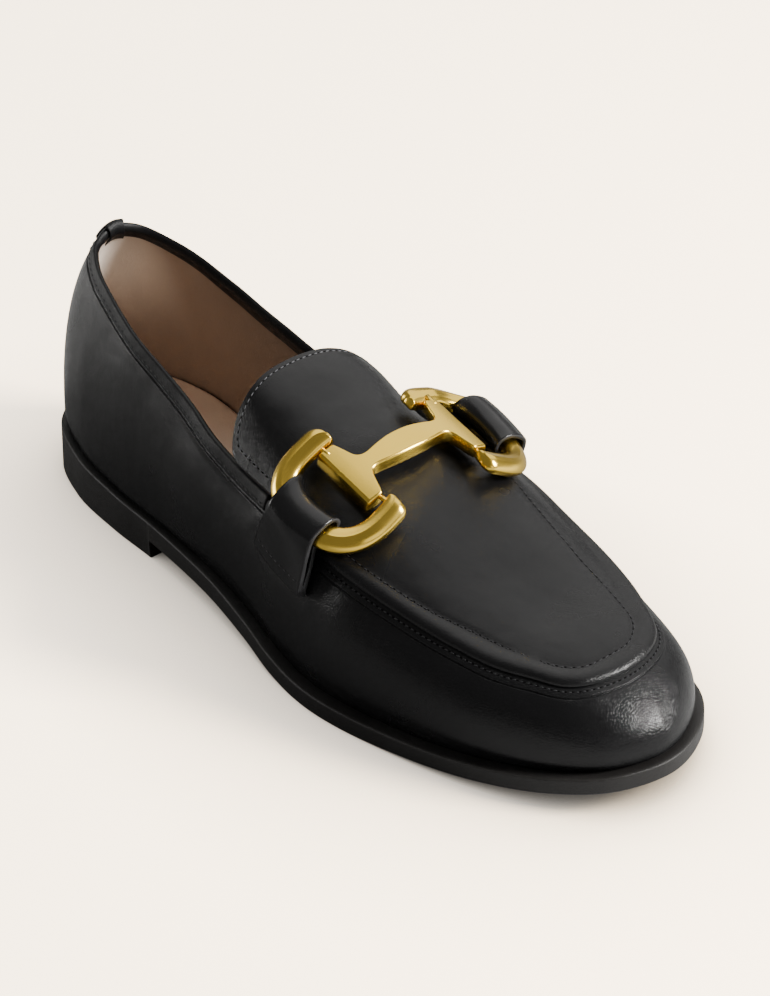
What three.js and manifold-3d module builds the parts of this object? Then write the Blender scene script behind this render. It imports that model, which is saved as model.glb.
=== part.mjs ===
// A women's bit loafer, right shoe: x runs from the heel to the toe, y to the wearer's left
// (the medial side), z up from the floor. All lengths are in millimetres.
import * as THREE from 'three';
import { mergeVertices } from 'three/addons/utils/BufferGeometryUtils.js';
import Module from 'manifold-3d';

const wasm = await Module();
wasm.setup();

// Driving sizes of the whole shoe
const SHOE_LENGTH = 265;        // sole, back of the heel to the tip of the toe
const BALL_WIDTH = 88;          // sole, widest at the ball
const HEEL_WIDTH = 60;          // sole, widest at the heel
const INSTEP_HEIGHT = 80;       // top of the last where the tongue ends
const TOE_HEIGHT = 38.5;        // crown of the toe
const BACK_HEIGHT = 81.5;       // topline at the back of the heel
const SHANK_RISE = 10.4;        // underside of the sole at the back of the heel
const SOLE_THICKNESS = 5;       // at the toe
const HEEL_FLARE = 1.0;         // heel block wider at the floor than under the upper
const TOE_SPRING = 8.3;         // rise of the sole's underside at the tip of the toe
const HEEL_LENGTH = 76;         // back of the heel to its breast

// Leather, lining and clearances
const CLEARANCE = 0.3;          // between two pieces that meet
const WALL = 2.2;               // upper, leather and lining together
const WELT_FORE = 2.9;          // sole edge standing out from the upper at the forefoot
const WELT_HEEL = 1.5;          // and at the heel
const APRON_THICKNESS = 1.5;    // apron and tongue leather
const APRON_PROUD = 0.8;        // apron's face above the vamp around it
const SEAM_PROUD = 1.9;         // raised seam above the vamp
const SEAM_WIDTH = 5.2;
const INSOLE_THICKNESS = 2.5;
const BINDING_THICKNESS = 0.6;
const BINDING_DEPTH = 4.2;      // down from the topline, inside and outside
const BINDING_PROUD = 0.3;
const EDGE_WALL = 1.0;          // upper skived thin under the binding
const TAB_THICKNESS = 0.8;      // folded tab over the topline at the back
const TAB_DEPTH = 5.2;
const STRAP_THICKNESS = 1.2;
const STRAP_FOLD = 18;          // strap's width where it folds round the ring

// The bit: a bar with a barrel at either end, and a ring held at each barrel's ends
const BIT_HEIGHT = 66.5;        // top of the bar at its middle
const BIT_TILT = 15;            // down towards the toe, degrees
const BIT_ASIDE = 1.0;          // its middle off the long axis, to the medial side
const BAR_WIDTH = 8.8;
const NECK_WIDTH = 6.2;         // bar where it meets a barrel
const BAR_THICKNESS = 4.8;
const BAR_CAMBER = 1.8;         // drop from the middle of the bar to its necks
const BARREL_LENGTH = 23;
const BARREL_WIDTH = 8.2;
const BARREL_OUT = 0.2 * BALL_WIDTH;    // middle of a barrel from the middle of the bar
const BARREL_DROP = 1.2;        // ring's top under the bar's, at the barrel
const RING_WIDTH = 7.4;
const RING_THICKNESS = 4.4;
const RING_HALF = 16.4;         // half length of a ring's centre line
const RING_DEPTH = 20.4;        // from the barrel's middle out to its far side
const RING_SHOULDER = 5.4;      // where it is longest, out from the barrel's middle
const RING_SQUARE = 2.5;        // how square its corners are (2 is an ellipse)
const RING_ARM = 25;            // how slowly its arms close in on the barrel
const RING_RETURN = 15;         // and for how many degrees
const RING_DROOP = { [-1]: 27.5, [1]: 31 };     // rings' slope down outwards, degrees
const RING_YAW = 5.5;           // turn of its far side towards the toe, degrees
const STRAP_SHIFT = -2.2;       // strap's middle on the ring, towards the heel

// Plan of the sole: half widths to either side of the long axis, as shares of the heel
// width at the rear and of the ball width at the front
const PLAN = [
  { along: 0.000, lateral: -0.020, medial: 0.020 },
  { along: 0.038, lateral: 0.325, medial: 0.350 },
  { along: 0.117, lateral: 0.480, medial: 0.472 },
  { along: 0.208, lateral: 0.533, medial: 0.460 },
  { along: 0.295, lateral: 0.507, medial: 0.375 },
  { along: 0.396, lateral: 0.448, medial: 0.262 },
  { along: 0.498, lateral: 0.452, medial: 0.277 },
  { along: 0.566, lateral: 0.492, medial: 0.356 },
  { along: 0.642, lateral: 0.511, medial: 0.466 },
  { along: 0.743, lateral: 0.470, medial: 0.491 },
  { along: 0.857, lateral: 0.384, medial: 0.441 },
  { along: 0.934, lateral: 0.277, medial: 0.351 },
  { along: 0.981, lateral: 0.151, medial: 0.199 },
  { along: 1.000, lateral: -0.028, medial: 0.028 },
];

// Profile of the sole: under is the height of its underside (a share of the shank's rise),
// edge its thickness (a share of the thickness at the toe)
const SHANK = [
  { along: 0.000, under: 1.000, edge: 1.320 },
  { along: 0.080, under: 0.810, edge: 1.320 },
  { along: 0.160, under: 0.670, edge: 1.320 },
  { along: 0.240, under: 0.590, edge: 1.320 },
  { along: 0.360, under: 0.540, edge: 1.330 },
  { along: 0.430, under: 0.480, edge: 1.360 },
  { along: 0.498, under: 0.290, edge: 1.340 },
  { along: 0.560, under: 0.075, edge: 1.280 },
  { along: 0.605, under: 0.000, edge: 1.200 },
  { along: 0.700, under: 0.000, edge: 1.150 },
  { along: 0.800, under: 0.000, edge: 1.050 },
  { along: 1.000, under: 0.000, edge: 1.000 },
];
const SPRING_START = 0.68;      // where the sole begins to lift to the toe

// Sections of the last, one row each: ridge is the height of its top line (a share of the
// instep height, passing to the toe height), square how boxy the section is (2 is an
// ellipse), belly how far its sides stand out low down, lateral and medial half way up (shares of
// the ball width), centre how far the top line leans to the medial side
const SECTIONS = [
  { along: 0.000, ridge: 1.145, square: 1.93, belly: 0.000, lateral: 0.000, medial: 0.000, centre: 0.000 },
  { along: 0.125, ridge: 1.085, square: 1.95, belly: -0.010, lateral: 0.000, medial: 0.022, centre: -0.020 },
  { along: 0.230, ridge: 1.165, square: 1.82, belly: 0.012, lateral: 0.000, medial: 0.028, centre: 0.000 },
  { along: 0.365, ridge: 0.934, square: 2.20, belly: 0.014, lateral: -0.005, medial: 0.086, centre: 0.000 },
  { along: 0.440, ridge: 0.872, square: 2.90, belly: 0.000, lateral: -0.030, medial: 0.122, centre: -0.005 },
  { along: 0.535, ridge: 0.795, square: 2.55, belly: 0.010, lateral: -0.014, medial: 0.070, centre: 0.000 },
  { along: 0.630, ridge: 0.835, square: 2.90, belly: 0.013, lateral: -0.004, medial: 0.034, centre: 0.008 },
  { along: 0.690, ridge: 0.902, square: 2.90, belly: 0.016, lateral: 0.004, medial: 0.006, centre: 0.020 },
  { along: 0.790, ridge: 0.981, square: 3.05, belly: 0.011, lateral: 0.008, medial: -0.004, centre: 0.026 },
  { along: 0.890, ridge: 0.890, square: 2.60, belly: 0.017, lateral: 0.002, medial: 0.000, centre: 0.022 },
  { along: 1.000, ridge: 1.000, square: 1.90, belly: 0.034, lateral: 0.000, medial: 0.000, centre: 0.034 },
];

// Height of the topline on either side, as shares of its height at the back
const TOPLINE = [
  { along: 0.000, lateral: 1.000, medial: 1.000 },
  { along: 0.015, lateral: 0.990, medial: 0.988 },
  { along: 0.042, lateral: 0.972, medial: 0.969 },
  { along: 0.075, lateral: 0.955, medial: 0.947 },
  { along: 0.113, lateral: 0.928, medial: 0.918 },
  { along: 0.150, lateral: 0.900, medial: 0.886 },
  { along: 0.200, lateral: 0.850, medial: 0.825 },
  { along: 0.255, lateral: 0.795, medial: 0.776 },
  { along: 0.310, lateral: 0.738, medial: 0.736 },
  { along: 0.365, lateral: 0.684, medial: 0.683 },
  { along: 0.415, lateral: 0.643, medial: 0.643 },
  { along: 0.468, lateral: 0.611, medial: 0.611 },
  { along: 0.515, lateral: 0.592, medial: 0.592 },
];

// The raised seam round the apron: its way up each rib from the sole, as an angle in degrees
const SEAM = [
  { along: 0.515, lateral: 41, medial: 39 },
  { along: 0.600, lateral: 46, medial: 40 },
  { along: 0.684, lateral: 50, medial: 41 },
  { along: 0.757, lateral: 54, medial: 44 },
  { along: 0.830, lateral: 57, medial: 49 },
  { along: 0.893, lateral: 57, medial: 53 },
  { along: 0.950, lateral: 54.5, medial: 53.5 },
  { along: 1.000, lateral: 56, medial: 56 },
];

// Half width of the tongue's free end, as shares of the ball width
const TONGUE = [
  { along: 0.4178, half: 0.000 },
  { along: 0.4190, half: 0.095 },
  { along: 0.4212, half: 0.160 },
  { along: 0.4240, half: 0.212 },
  { along: 0.4278, half: 0.254 },
  { along: 0.4330, half: 0.282 },
  { along: 0.4388, half: 0.302 },
  { along: 0.4500, half: 0.314 },
  { along: 0.4700, half: 0.320 },
];

// Stitched end of each strap: from and to along the shoe, low up the rib in degrees
const STRAPS = {
  [-1]: { from: 0.522, to: 0.618, low: 25 },
  [1]: { from: 0.482, to: 0.604, low: 19.5 },
};
const BIT_AT = 0.6045;          // middle of the bit along the shoe
const TAB_REACH = 0.010;        // half of the heel tab, along the shoe at the rib's foot
const SEAM_FULL = 0.640;        // where the raised seam reaches its full height
const SEAM_SHOULDER = 0.8;      // height of the seam's shoulders, of its crest
const THROAT = 0.550;           // vamp's edge under the tongue, at the middle, along the shoe
const SPINE_HEEL = 0.125;       // where the ribs of the heel gather, along the shoe
const SPINE_TOE = 0.838;        // and those of the toe
const SPINE_ROUND = 0.045;      // how gently the ribs turn there

// Numbers of stations and rows in the meshes
const HEEL_STATIONS = 7;
const TOE_STATIONS = 8;
const BODY_ROWS = [0, 0.1, 0.24, 0.42, 0.62, 0.82];
const LINING_ROWS = [0, 0.15, 0.4, 0.7];

const DEGREE = Math.PI / 180;

// A smooth curve through one column of a table, read at a share of the shoe's length
function column(rows, name) {
  const at = rows.map((row) => row.along);
  const value = rows.map((row) => row[name]);
  const last = rows.length - 1;
  const rise = [];
  for (let i = 0; i < last; i += 1) {
    rise.push((value[i + 1] - value[i]) / (at[i + 1] - at[i]));
  }
  const slope = at.map((_, i) => {
    if (i === 0) return rise[0];
    if (i === last) return rise[last - 1];
    if (rise[i - 1] * rise[i] <= 0) return 0;
    const before = at[i] - at[i - 1];
    const after = at[i + 1] - at[i];
    const mean = (rise[i - 1] * after + rise[i] * before) / (before + after);
    const most = 3 * Math.min(Math.abs(rise[i - 1]), Math.abs(rise[i]));
    return Math.sign(mean) * Math.min(Math.abs(mean), most);
  });
  return (along) => {
    const place = Math.min(Math.max(along, at[0]), at[last]);
    let i = 0;
    while (i < last - 1 && place > at[i + 1]) i += 1;
    const step = at[i + 1] - at[i];
    const s = (place - at[i]) / step;
    const a = (1 + 2 * s) * (1 - s) ** 2;
    const b = s * (1 - s) ** 2;
    const c = s * s * (3 - 2 * s);
    const d = s * s * (s - 1);
    return a * value[i] + b * step * slope[i] + c * value[i + 1] + d * step * slope[i + 1];
  };
}

function ease(from, to, x) {
  const s = Math.min(Math.max((x - from) / (to - from), 0), 1);
  return s * s * (3 - 2 * s);
}

function mix(a, b, share) {
  return a + (b - a) * share;
}

// Solves rising(x) = target between low and high by halving
function solve(rising, target, low, high) {
  let a = low;
  let b = high;
  for (let i = 0; i < 40; i += 1) {
    const middle = (a + b) / 2;
    if (rising(middle) < target) a = middle;
    else b = middle;
  }
  return (a + b) / 2;
}

const widthSize = (along) => mix(HEEL_WIDTH, BALL_WIDTH, ease(0.22, 0.5, along));
const heightSize = (along) => mix(INSTEP_HEIGHT, TOE_HEIGHT, ease(0.5, 0.83, along));
const section = Object.fromEntries(
  Object.keys(SECTIONS[0]).map((name) => [name, column(SECTIONS, name)]));
const toplineShare = { [-1]: column(TOPLINE, 'lateral'), [1]: column(TOPLINE, 'medial') };
const TOPLINE_END = TOPLINE[TOPLINE.length - 1].along;
const seamAngle = { [-1]: column(SEAM, 'lateral'), [1]: column(SEAM, 'medial') };
const tongueShare = column(TONGUE, 'half');
const shank = column(SHANK, 'under');
const soleEdge = column(SHANK, 'edge');

// Underside of the sole over the floor, at x; the heel block fills it in at the rear
function soleBottom(x) {
  const spring = Math.max(0, (x / SHOE_LENGTH - SPRING_START) / (1 - SPRING_START));
  return SHANK_RISE * shank(x / SHOE_LENGTH) + TOE_SPRING * spring ** 1.8;
}
const soleTop = (x) => soleBottom(x) + SOLE_THICKNESS * soleEdge(x / SHOE_LENGTH);

// Plan outline of the sole as one closed curve, heel, lateral side, toe, medial side
const lateralPoints = PLAN.map((row) => new THREE.Vector3(
  row.along * SHOE_LENGTH, -row.lateral * widthSize(row.along), 0));
const medialPoints = PLAN.slice(1, -1).reverse().map((row) => new THREE.Vector3(
  row.along * SHOE_LENGTH, row.medial * widthSize(row.along), 0));
const outline = new THREE.CatmullRomCurve3([...lateralPoints, ...medialPoints], true, 'centripetal');

// A point of the outline: t runs 0 to 1 from heel to toe on either side (-1 lateral, 1
// medial), grown outwards by grow
function outlinePoint(t, side, grow) {
  const place = side < 0 ? t / 2 : 1 - t / 2;
  const point = outline.getPoint(place % 1);
  const step = 1e-4;
  const ahead = outline.getPoint((place + step) % 1);
  const behind = outline.getPoint((place - step + 1) % 1);
  const along = ahead.sub(behind).normalize();
  return new THREE.Vector2(point.x + along.y * grow, point.y - along.x * grow);
}

const meanAlong = (t) => (outlinePoint(t, -1, 0).x + outlinePoint(t, 1, 0).x) / 2 / SHOE_LENGTH;
const stationAt = (along) => {
  if (along <= 0) return 0;
  if (along >= 1) return 1;
  return solve(meanAlong, along, 0, 1);
};

function spineAlong(along) {
  const front = along - SPINE_TOE;
  const capped = (along + SPINE_TOE - Math.hypot(front, SPINE_ROUND)) / 2;
  const back = capped - SPINE_HEEL;
  return (capped + SPINE_HEEL + Math.hypot(back, SPINE_ROUND)) / 2;
}

// How much narrower the top of the sole is than its underside
const flare = (along) => HEEL_FLARE * (1 - ease(0.15, 0.4, along));

// A point of the last. From its foot on the sole a rib climbs, a quarter of a superellipse in
// plan and height, to the top line; angle runs 0 to 90 degrees up it, lift raises the point
// off the last
function lastPoint(t, side, angle, lift) {
  const along = meanAlong(t);
  const welt = mix(WELT_HEEL, WELT_FORE, ease(0.25, 0.6, along)) + flare(along);
  const foot = outlinePoint(t, side, lift - welt);
  const spine = spineAlong(along);
  const top = new THREE.Vector2(spine * SHOE_LENGTH, section.centre(along) * BALL_WIDTH);
  const square = 2 / section.square(along);
  const out = Math.max(Math.cos(angle * DEGREE), 0) ** square;
  const up = Math.max(Math.sin(angle * DEGREE), 0) ** square;
  const low = Math.sin(2 * angle * DEGREE) * Math.cos(angle * DEGREE) ** 2;
  const half = Math.sin(2 * angle * DEGREE);
  const swell = side < 0 ? section.lateral(along) : section.medial(along);
  const puff = (section.belly(along) * low + swell * half) * BALL_WIDTH;
  const radial = foot.clone().sub(top);
  const reach = radial.length();
  const plan = top.add(radial.multiplyScalar((reach * out + puff) / reach));
  const base = soleTop(foot.x) + CLEARANCE;
  const ridge = section.ridge(spine) * heightSize(spine) + lift;
  return new THREE.Vector3(plan.x, plan.y, mix(base, ridge, up));
}

// Angle up a rib at a height over the floor, or at a distance from the long axis
const angleAtHeight = (t, side, height, lift) => (
  solve((angle) => lastPoint(t, side, angle, lift).z, height, 0, 90));
const angleAtHalf = (t, side, half, lift) => {
  const rising = (angle) => -Math.abs(lastPoint(t, side, angle, lift).y);
  return solve(rising, -half, 35, 90);
};
// Degrees of rib that cover a length at an angle
function degreesFor(t, side, angle, length) {
  const step = 0.5;
  const a = lastPoint(t, side, Math.max(angle - step, 0), 0);
  const b = lastPoint(t, side, Math.min(angle + step, 90), 0);
  return 2 * step * length / a.distanceTo(b);
}

// Collects faces and makes one closed mesh of them, turned outwards
class Skin {
  constructor() {
    this.corners = [];
  }

  face(a, b, c) {
    this.corners.push(a, b, c);
  }

  quad(a, b, c, d) {
    this.face(a, b, c);
    this.face(a, c, d);
  }

  // Quads between two rows of points of equal length
  band(rowA, rowB, closed) {
    const count = closed ? rowA.length : rowA.length - 1;
    for (let i = 0; i < count; i += 1) {
      const j = (i + 1) % rowA.length;
      this.quad(rowA[i], rowA[j], rowB[j], rowB[i]);
    }
  }

  geometry() {
    const loose = new THREE.BufferGeometry();
    loose.setAttribute('position', new THREE.Float32BufferAttribute(
      this.corners.flatMap((p) => [p.x, p.y, p.z]), 3));
    const merged = mergeVertices(loose, 2e-3);
    const index = merged.getIndex().array;
    const kept = [];
    for (let i = 0; i < index.length; i += 3) {
      const [a, b, c] = index.slice(i, i + 3);
      if (a !== b && b !== c && c !== a) kept.push(a, b, c);
    }
    const position = merged.getAttribute('position');
    let volume = 0;
    const [p, q, r] = [new THREE.Vector3(), new THREE.Vector3(), new THREE.Vector3()];
    for (let i = 0; i < kept.length; i += 3) {
      p.fromBufferAttribute(position, kept[i]);
      q.fromBufferAttribute(position, kept[i + 1]);
      r.fromBufferAttribute(position, kept[i + 2]);
      volume += p.dot(q.cross(r));
    }
    if (volume < 0) kept.reverse();
    merged.setIndex(kept);
    return merged;
  }
}

function toSolid(geometry) {
  return new wasm.Manifold(new wasm.Mesh({
    numProp: 3,
    vertProperties: Float32Array.from(geometry.getAttribute('position').array),
    triVerts: Uint32Array.from(geometry.getIndex().array),
  }));
}

function fromSolid(solid) {
  const mesh = solid.getMesh();
  const geometry = new THREE.BufferGeometry();
  geometry.setAttribute('position', new THREE.Float32BufferAttribute(mesh.vertProperties, 3));
  geometry.setIndex([...mesh.triVerts]);
  return geometry;
}

const unlit = (geometry) => {
  geometry.deleteAttribute('normal');
  geometry.deleteAttribute('uv');
  return mergeVertices(geometry, 1e-3);
};

// Stations along the shoe: close together round the heel and toe, and at given places
function stations(from, to, spacing) {
  const heelSpan = SPINE_HEEL;
  const toeSpan = 1 - SPINE_TOE;
  const places = [];
  for (let i = 0; i < HEEL_STATIONS; i += 1) {
    places.push(heelSpan * (1 - Math.cos(i / HEEL_STATIONS * 90 * DEGREE)));
  }
  const straight = Math.round((SPINE_TOE - SPINE_HEEL) * SHOE_LENGTH / spacing);
  for (let i = 0; i <= straight; i += 1) {
    places.push(mix(SPINE_HEEL, SPINE_TOE, i / straight));
  }
  for (let i = TOE_STATIONS - 1; i >= 0; i -= 1) {
    places.push(1 - toeSpan * (1 - Math.cos(i / TOE_STATIONS * 90 * DEGREE)));
  }
  return places.filter((along) => along > from && along < to);
}

// Ribs in one loop round the shoe, each a place along it and a side
function loopOf(alongs) {
  const ribs = alongs.map((along) => ({ along, t: stationAt(along) }));
  const lateral = ribs.map((rib) => ({ ...rib, side: -1 }));
  const medial = ribs.slice(1, -1).reverse().map((rib) => ({ ...rib, side: 1 }));
  return [...lateral, ...medial];
}

// Sole and heel, moulded in one
function soleGeometry() {
  const places = [0, ...stations(0.0005, 0.9995, 12), 1];
  const ribs = loopOf(places);
  const edge = ribs.map((rib) => outlinePoint(rib.t, rib.side, 0));
  const seat = ribs.map((rib) => outlinePoint(rib.t, rib.side, -flare(rib.along)));
  const middle = ribs.map((rib) => new THREE.Vector2(
    (outlinePoint(rib.t, -1, 0).x + outlinePoint(rib.t, 1, 0).x) / 2, 0));
  const rows = [
    middle.map((p) => new THREE.Vector3(p.x, p.y, 0)),
    edge.map((p) => new THREE.Vector3(p.x, p.y, 0)),
    seat.map((p) => new THREE.Vector3(p.x, p.y, soleTop(p.x))),
    middle.map((p) => new THREE.Vector3(p.x, p.y, soleTop(p.x))),
  ];
  const skin = new Skin();
  rows.slice(1).forEach((row, i) => skin.band(rows[i], row, true));
  const under = new THREE.Shape();
  under.moveTo(HEEL_LENGTH, -1);
  const steps = 28;
  for (let i = 0; i <= steps; i += 1) {
    const x = mix(HEEL_LENGTH, SHOE_LENGTH + 2, i / steps);
    under.lineTo(x, Math.min(soleBottom(x), soleBottom(SHOE_LENGTH)) - (soleBottom(x) < 0.01 ? 0.5 : 0));
  }
  under.lineTo(SHOE_LENGTH + 2, -1);
  const cutter = new THREE.ExtrudeGeometry(under, { depth: 2 * BALL_WIDTH, bevelEnabled: false });
  cutter.rotateX(Math.PI / 2);
  cutter.translate(0, BALL_WIDTH, 0);
  return fromSolid(toSolid(skin.geometry()).subtract(toSolid(unlit(cutter))));
}

// The topline's angle up each rib
const toplineAngle = (rib) => (
  angleAtHeight(rib.t, rib.side, toplineShare[rib.side](rib.along) * BACK_HEIGHT, 0));

// The angle where the upper ends: at the topline, then in an arc under the tongue
function edgeAngle(rib) {
  if (rib.along >= THROAT) return 90;
  const angle = toplineAngle(rib);
  if (rib.along <= TOPLINE_END) return angle;
  const s = (rib.along - TOPLINE_END) / (THROAT - TOPLINE_END);
  return mix(bandAngle(rib), 90, 1 - Math.sqrt(1 - s * s));
}

// The angle of the topline, which passes into the raised seam
function bandAngle(rib) {
  const joined = ease(TOPLINE_END, TOPLINE_END + 0.03, rib.along);
  if (joined === 0) return toplineAngle(rib);
  return mix(toplineAngle(rib), seamAngle[rib.side](rib.along), joined);
}

// How far the skived topline has turned into the raised seam, under the straps
const seamGrowth = (along) => ease(TOPLINE_END + 0.005, SEAM_FULL, along);

const upperPlaces = () => {
  const throat = [0, 0.35, 0.62, 0.82, 0.94, 1].map((s) => mix(TOPLINE_END, THROAT, s));
  const front = stations(THROAT + 0.008, 0.9995, 7);
  const rear = stations(0.0005, TOPLINE_END - 0.008, 8.5);
  return [0, ...rear, ...throat, ...front, 1];
};

// Upper: outside and inside faces, with the topline skived for its binding and the raised
// seam round the sunk bed of the apron
function upperGeometry() {
  const ribs = loopOf(upperPlaces());
  const rows = (faces) => faces[0].map((_, j) => faces.map((face) => face[j]));
  const outer = rows(ribs.map(outsideRib));
  const inner = rows(ribs.map(insideRib)).reverse();
  const all = [...outer, ...inner];
  const skin = new Skin();
  all.forEach((row, i) => {
    const next = all[(i + 1) % all.length];
    if (i === outer.length - 1) rimBand(skin, ribs, row, next);
    else skin.band(row, next, true);
  });
  return skin.geometry();
}

// The wall's top edge, left out where both sides meet over the middle
function rimBand(skin, ribs, rowA, rowB) {
  ribs.forEach((rib, i) => {
    const j = (i + 1) % ribs.length;
    if (rib.along >= THROAT - 1e-9 && ribs[j].along >= THROAT - 1e-9) return;
    skin.quad(rowA[i], rowA[j], rowB[j], rowB[i]);
  });
}

const BED = -(APRON_THICKNESS + 1.6 * CLEARANCE - APRON_PROUD);
const COVER_ROWS = [0.25, 0.5, 0.75, 1];

// Where the raised seam ends on the apron's side
function seamInside(rib) {
  const band = bandAngle(rib);
  const half = degreesFor(rib.t, rib.side, band, SEAM_WIDTH / 2);
  return Math.min(edgeAngle(rib), band + half * seamGrowth(rib.along));
}

function outsideRib(rib) {
  const { t, side, along } = rib;
  const at = (angle, lift) => lastPoint(t, side, angle, lift);
  const edge = edgeAngle(rib);
  const band = bandAngle(rib);
  const grown = seamGrowth(along);
  const depth = degreesFor(t, side, band, BINDING_DEPTH + CLEARANCE);
  const half = degreesFor(t, side, band, SEAM_WIDTH / 2);
  const foot = mix(band - depth, band - half, grown);
  const skive = degreesFor(t, side, band, 0.5);
  const inside = seamInside(rib);
  const sunk = mix(-BINDING_THICKNESS, BED, ease(TOPLINE_END - 0.02, TOPLINE_END, along));
  const shoulder = mix(-BINDING_THICKNESS, SEAM_PROUD * SEAM_SHOULDER, grown);
  return [
    ...BODY_ROWS.map((share) => at(share * foot, 0)),
    at(foot, 0),
    at(mix(foot + skive, band - half / 2, grown), shoulder),
    at(band, mix(-BINDING_THICKNESS, SEAM_PROUD, grown)),
    at(mix(band, inside, 0.5), mix(sunk, SEAM_PROUD * SEAM_SHOULDER, grown)),
    at(inside, sunk),
    ...COVER_ROWS.map((share) => at(mix(inside, edge, share), sunk)),
  ];
}

function insideRib(rib) {
  const { t, side, along } = rib;
  const at = (angle, lift) => lastPoint(t, side, angle, lift);
  const edge = edgeAngle(rib);
  const band = bandAngle(rib);
  const grown = seamGrowth(along);
  const depth = degreesFor(t, side, band, BINDING_DEPTH + CLEARANCE);
  const skive = degreesFor(t, side, band, 0.5);
  const foot = mix(band - depth, band - skive, grown);
  const thin = mix(-(BINDING_THICKNESS + EDGE_WALL), -WALL, ease(TOPLINE_END - 0.02, TOPLINE_END, along));
  return [
    ...LINING_ROWS.map((share) => at(share * foot, -WALL)),
    at(foot, -WALL),
    at(mix(foot + skive, band, grown), thin),
    at(band, thin),
    ...[0.5, 1].map((share) => at(mix(band, edge, share), thin)),
  ];
}

// A folded strip over the topline: its outer face stands out by proud, it is as thick as
// thickness and reaches down by depth on either side
function channelGeometry(ribs, proud, thickness, depth) {
  const inward = WALL + proud;
  const outerFace = [[-depth, proud], [0, proud], [thickness, -WALL / 2], [0, -inward], [-depth, -inward]];
  const rise = proud + CLEARANCE;
  const innerFace = [[-depth, proud - thickness], [-thickness, proud - thickness],
    [0, -WALL / 2], [-thickness, thickness - inward], [-depth, thickness - inward]];
  const place = (rib, [up, lift]) => {
    const edge = toplineAngle(rib);
    const degrees = degreesFor(rib.t, rib.side, edge, 1);
    return lastPoint(rib.t, rib.side, edge + degrees * (up + rise), lift);
  };
  const rows = [...outerFace, ...innerFace.reverse()].map((corner) => ribs.map((rib) => place(rib, corner)));
  const skin = new Skin();
  rows.forEach((row, i) => skin.band(row, rows[(i + 1) % rows.length], false));
  [0, ribs.length - 1].forEach((end) => {
    const ring = rows.map((row) => row[end]);
    for (let k = 0; k < 4; k += 1) {
      const corners = [ring[k], ring[k + 1], ring[8 - k], ring[9 - k]];
      if (end > 0) corners.reverse();
      skin.quad(...corners);
    }
  });
  return skin.geometry();
}

// Ribs round the heel from the lateral side to the medial
function heelRibs(places) {
  const ribs = places.map((along) => ({ along, t: stationAt(along) }));
  const lateral = ribs.map((rib) => ({ ...rib, side: -1 })).reverse();
  return [...lateral, ...ribs.slice(1).map((rib) => ({ ...rib, side: 1 }))];
}

const bindingGeometry = () => channelGeometry(
  heelRibs(upperPlaces().filter((along) => along < TOPLINE_END - 0.012)),
  BINDING_PROUD, BINDING_THICKNESS, BINDING_DEPTH);

const tabGeometry = () => channelGeometry(
  heelRibs([0, 0.25, 0.5, 0.75, 1].map((s) => s * s * TAB_REACH)),
  BINDING_PROUD + CLEARANCE + TAB_THICKNESS, TAB_THICKNESS, TAB_DEPTH);

// Insole, inside the upper and on the sole
function insoleGeometry() {
  const ribs = loopOf([0, ...stations(0.0005, 0.9995, 12), 1]);
  const inset = -(WALL + 2 * CLEARANCE);
  const ring = (height) => ribs.map((rib) => {
    const angle = angleAtHeight(rib.t, rib.side, soleTop(rib.along * SHOE_LENGTH) + height, inset);
    const p = lastPoint(rib.t, rib.side, Math.max(angle, 0), inset);
    return new THREE.Vector3(p.x, p.y, soleTop(p.x) + height);
  });
  const middle = (height) => ribs.map((rib) => {
    const x = rib.along * SHOE_LENGTH;
    return new THREE.Vector3(x, 0, soleTop(x) + height);
  });
  const low = CLEARANCE;
  const high = CLEARANCE + INSOLE_THICKNESS;
  const skin = new Skin();
  const edgeLow = ring(low);
  const foot = edgeLow.map((p) => new THREE.Vector3(p.x, p.y, p.z));
  const edgeHigh = foot.map((p) => new THREE.Vector3(p.x, p.y, soleTop(p.x) + high));
  const shrink = (row) => {
    row[0].x = Math.max(row[0].x, 0);
    return row;
  };
  const lowMiddle = shrink(middle(low)).map((p, i) => clampTo(p, foot, i, ribs));
  const highMiddle = lowMiddle.map((p) => new THREE.Vector3(p.x, p.y, soleTop(p.x) + high));
  skin.band(lowMiddle, foot, true);
  skin.band(foot, edgeHigh, true);
  skin.band(edgeHigh, highMiddle, true);
  return skin.geometry();
}

// A middle point between the two sides of its own station
function clampTo(point, foot, i, ribs) {
  const other = ribs.findIndex((rib) => rib.along === ribs[i].along && rib.side !== ribs[i].side);
  const across = foot[other < 0 ? i : other];
  const p = foot[i].clone().add(across).multiplyScalar(0.5);
  return new THREE.Vector3(p.x, p.y, point.z + soleTop(p.x) - soleTop(point.x));
}

// Apron and tongue, one leather
function apronGeometry() {
  const start = TONGUE[0].along;
  const tip = [0.02, 0.07, 0.16, 0.3, 0.5, 0.75].map((s) => mix(start, TONGUE[TONGUE.length - 1].along, s));
  const places = upperPlaces().filter((along) => along > TONGUE[TONGUE.length - 1].along - 0.005);
  const ribs = loopOf([start, ...tip, ...places]);
  const angles = ribs.map((rib) => {
    const edge = apronEdge(rib);
    const from = Math.min(rib.along >= THROAT ? seamInside(rib) : edge, edge);
    return [edge, ...COVER_ROWS.map((share) => Math.max(mix(from, 90, share), edge))];
  });
  const faces = (lift) => angles[0].map((_, j) => ribs.map((rib, i) => (
    lastPoint(rib.t, rib.side, angles[i][j], lift))));
  const all = [...faces(APRON_PROUD).reverse(), ...faces(APRON_PROUD - APRON_THICKNESS)];
  const skin = new Skin();
  all.slice(1).forEach((row, i) => skin.band(all[i], row, true));
  return skin.geometry();
}

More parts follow.
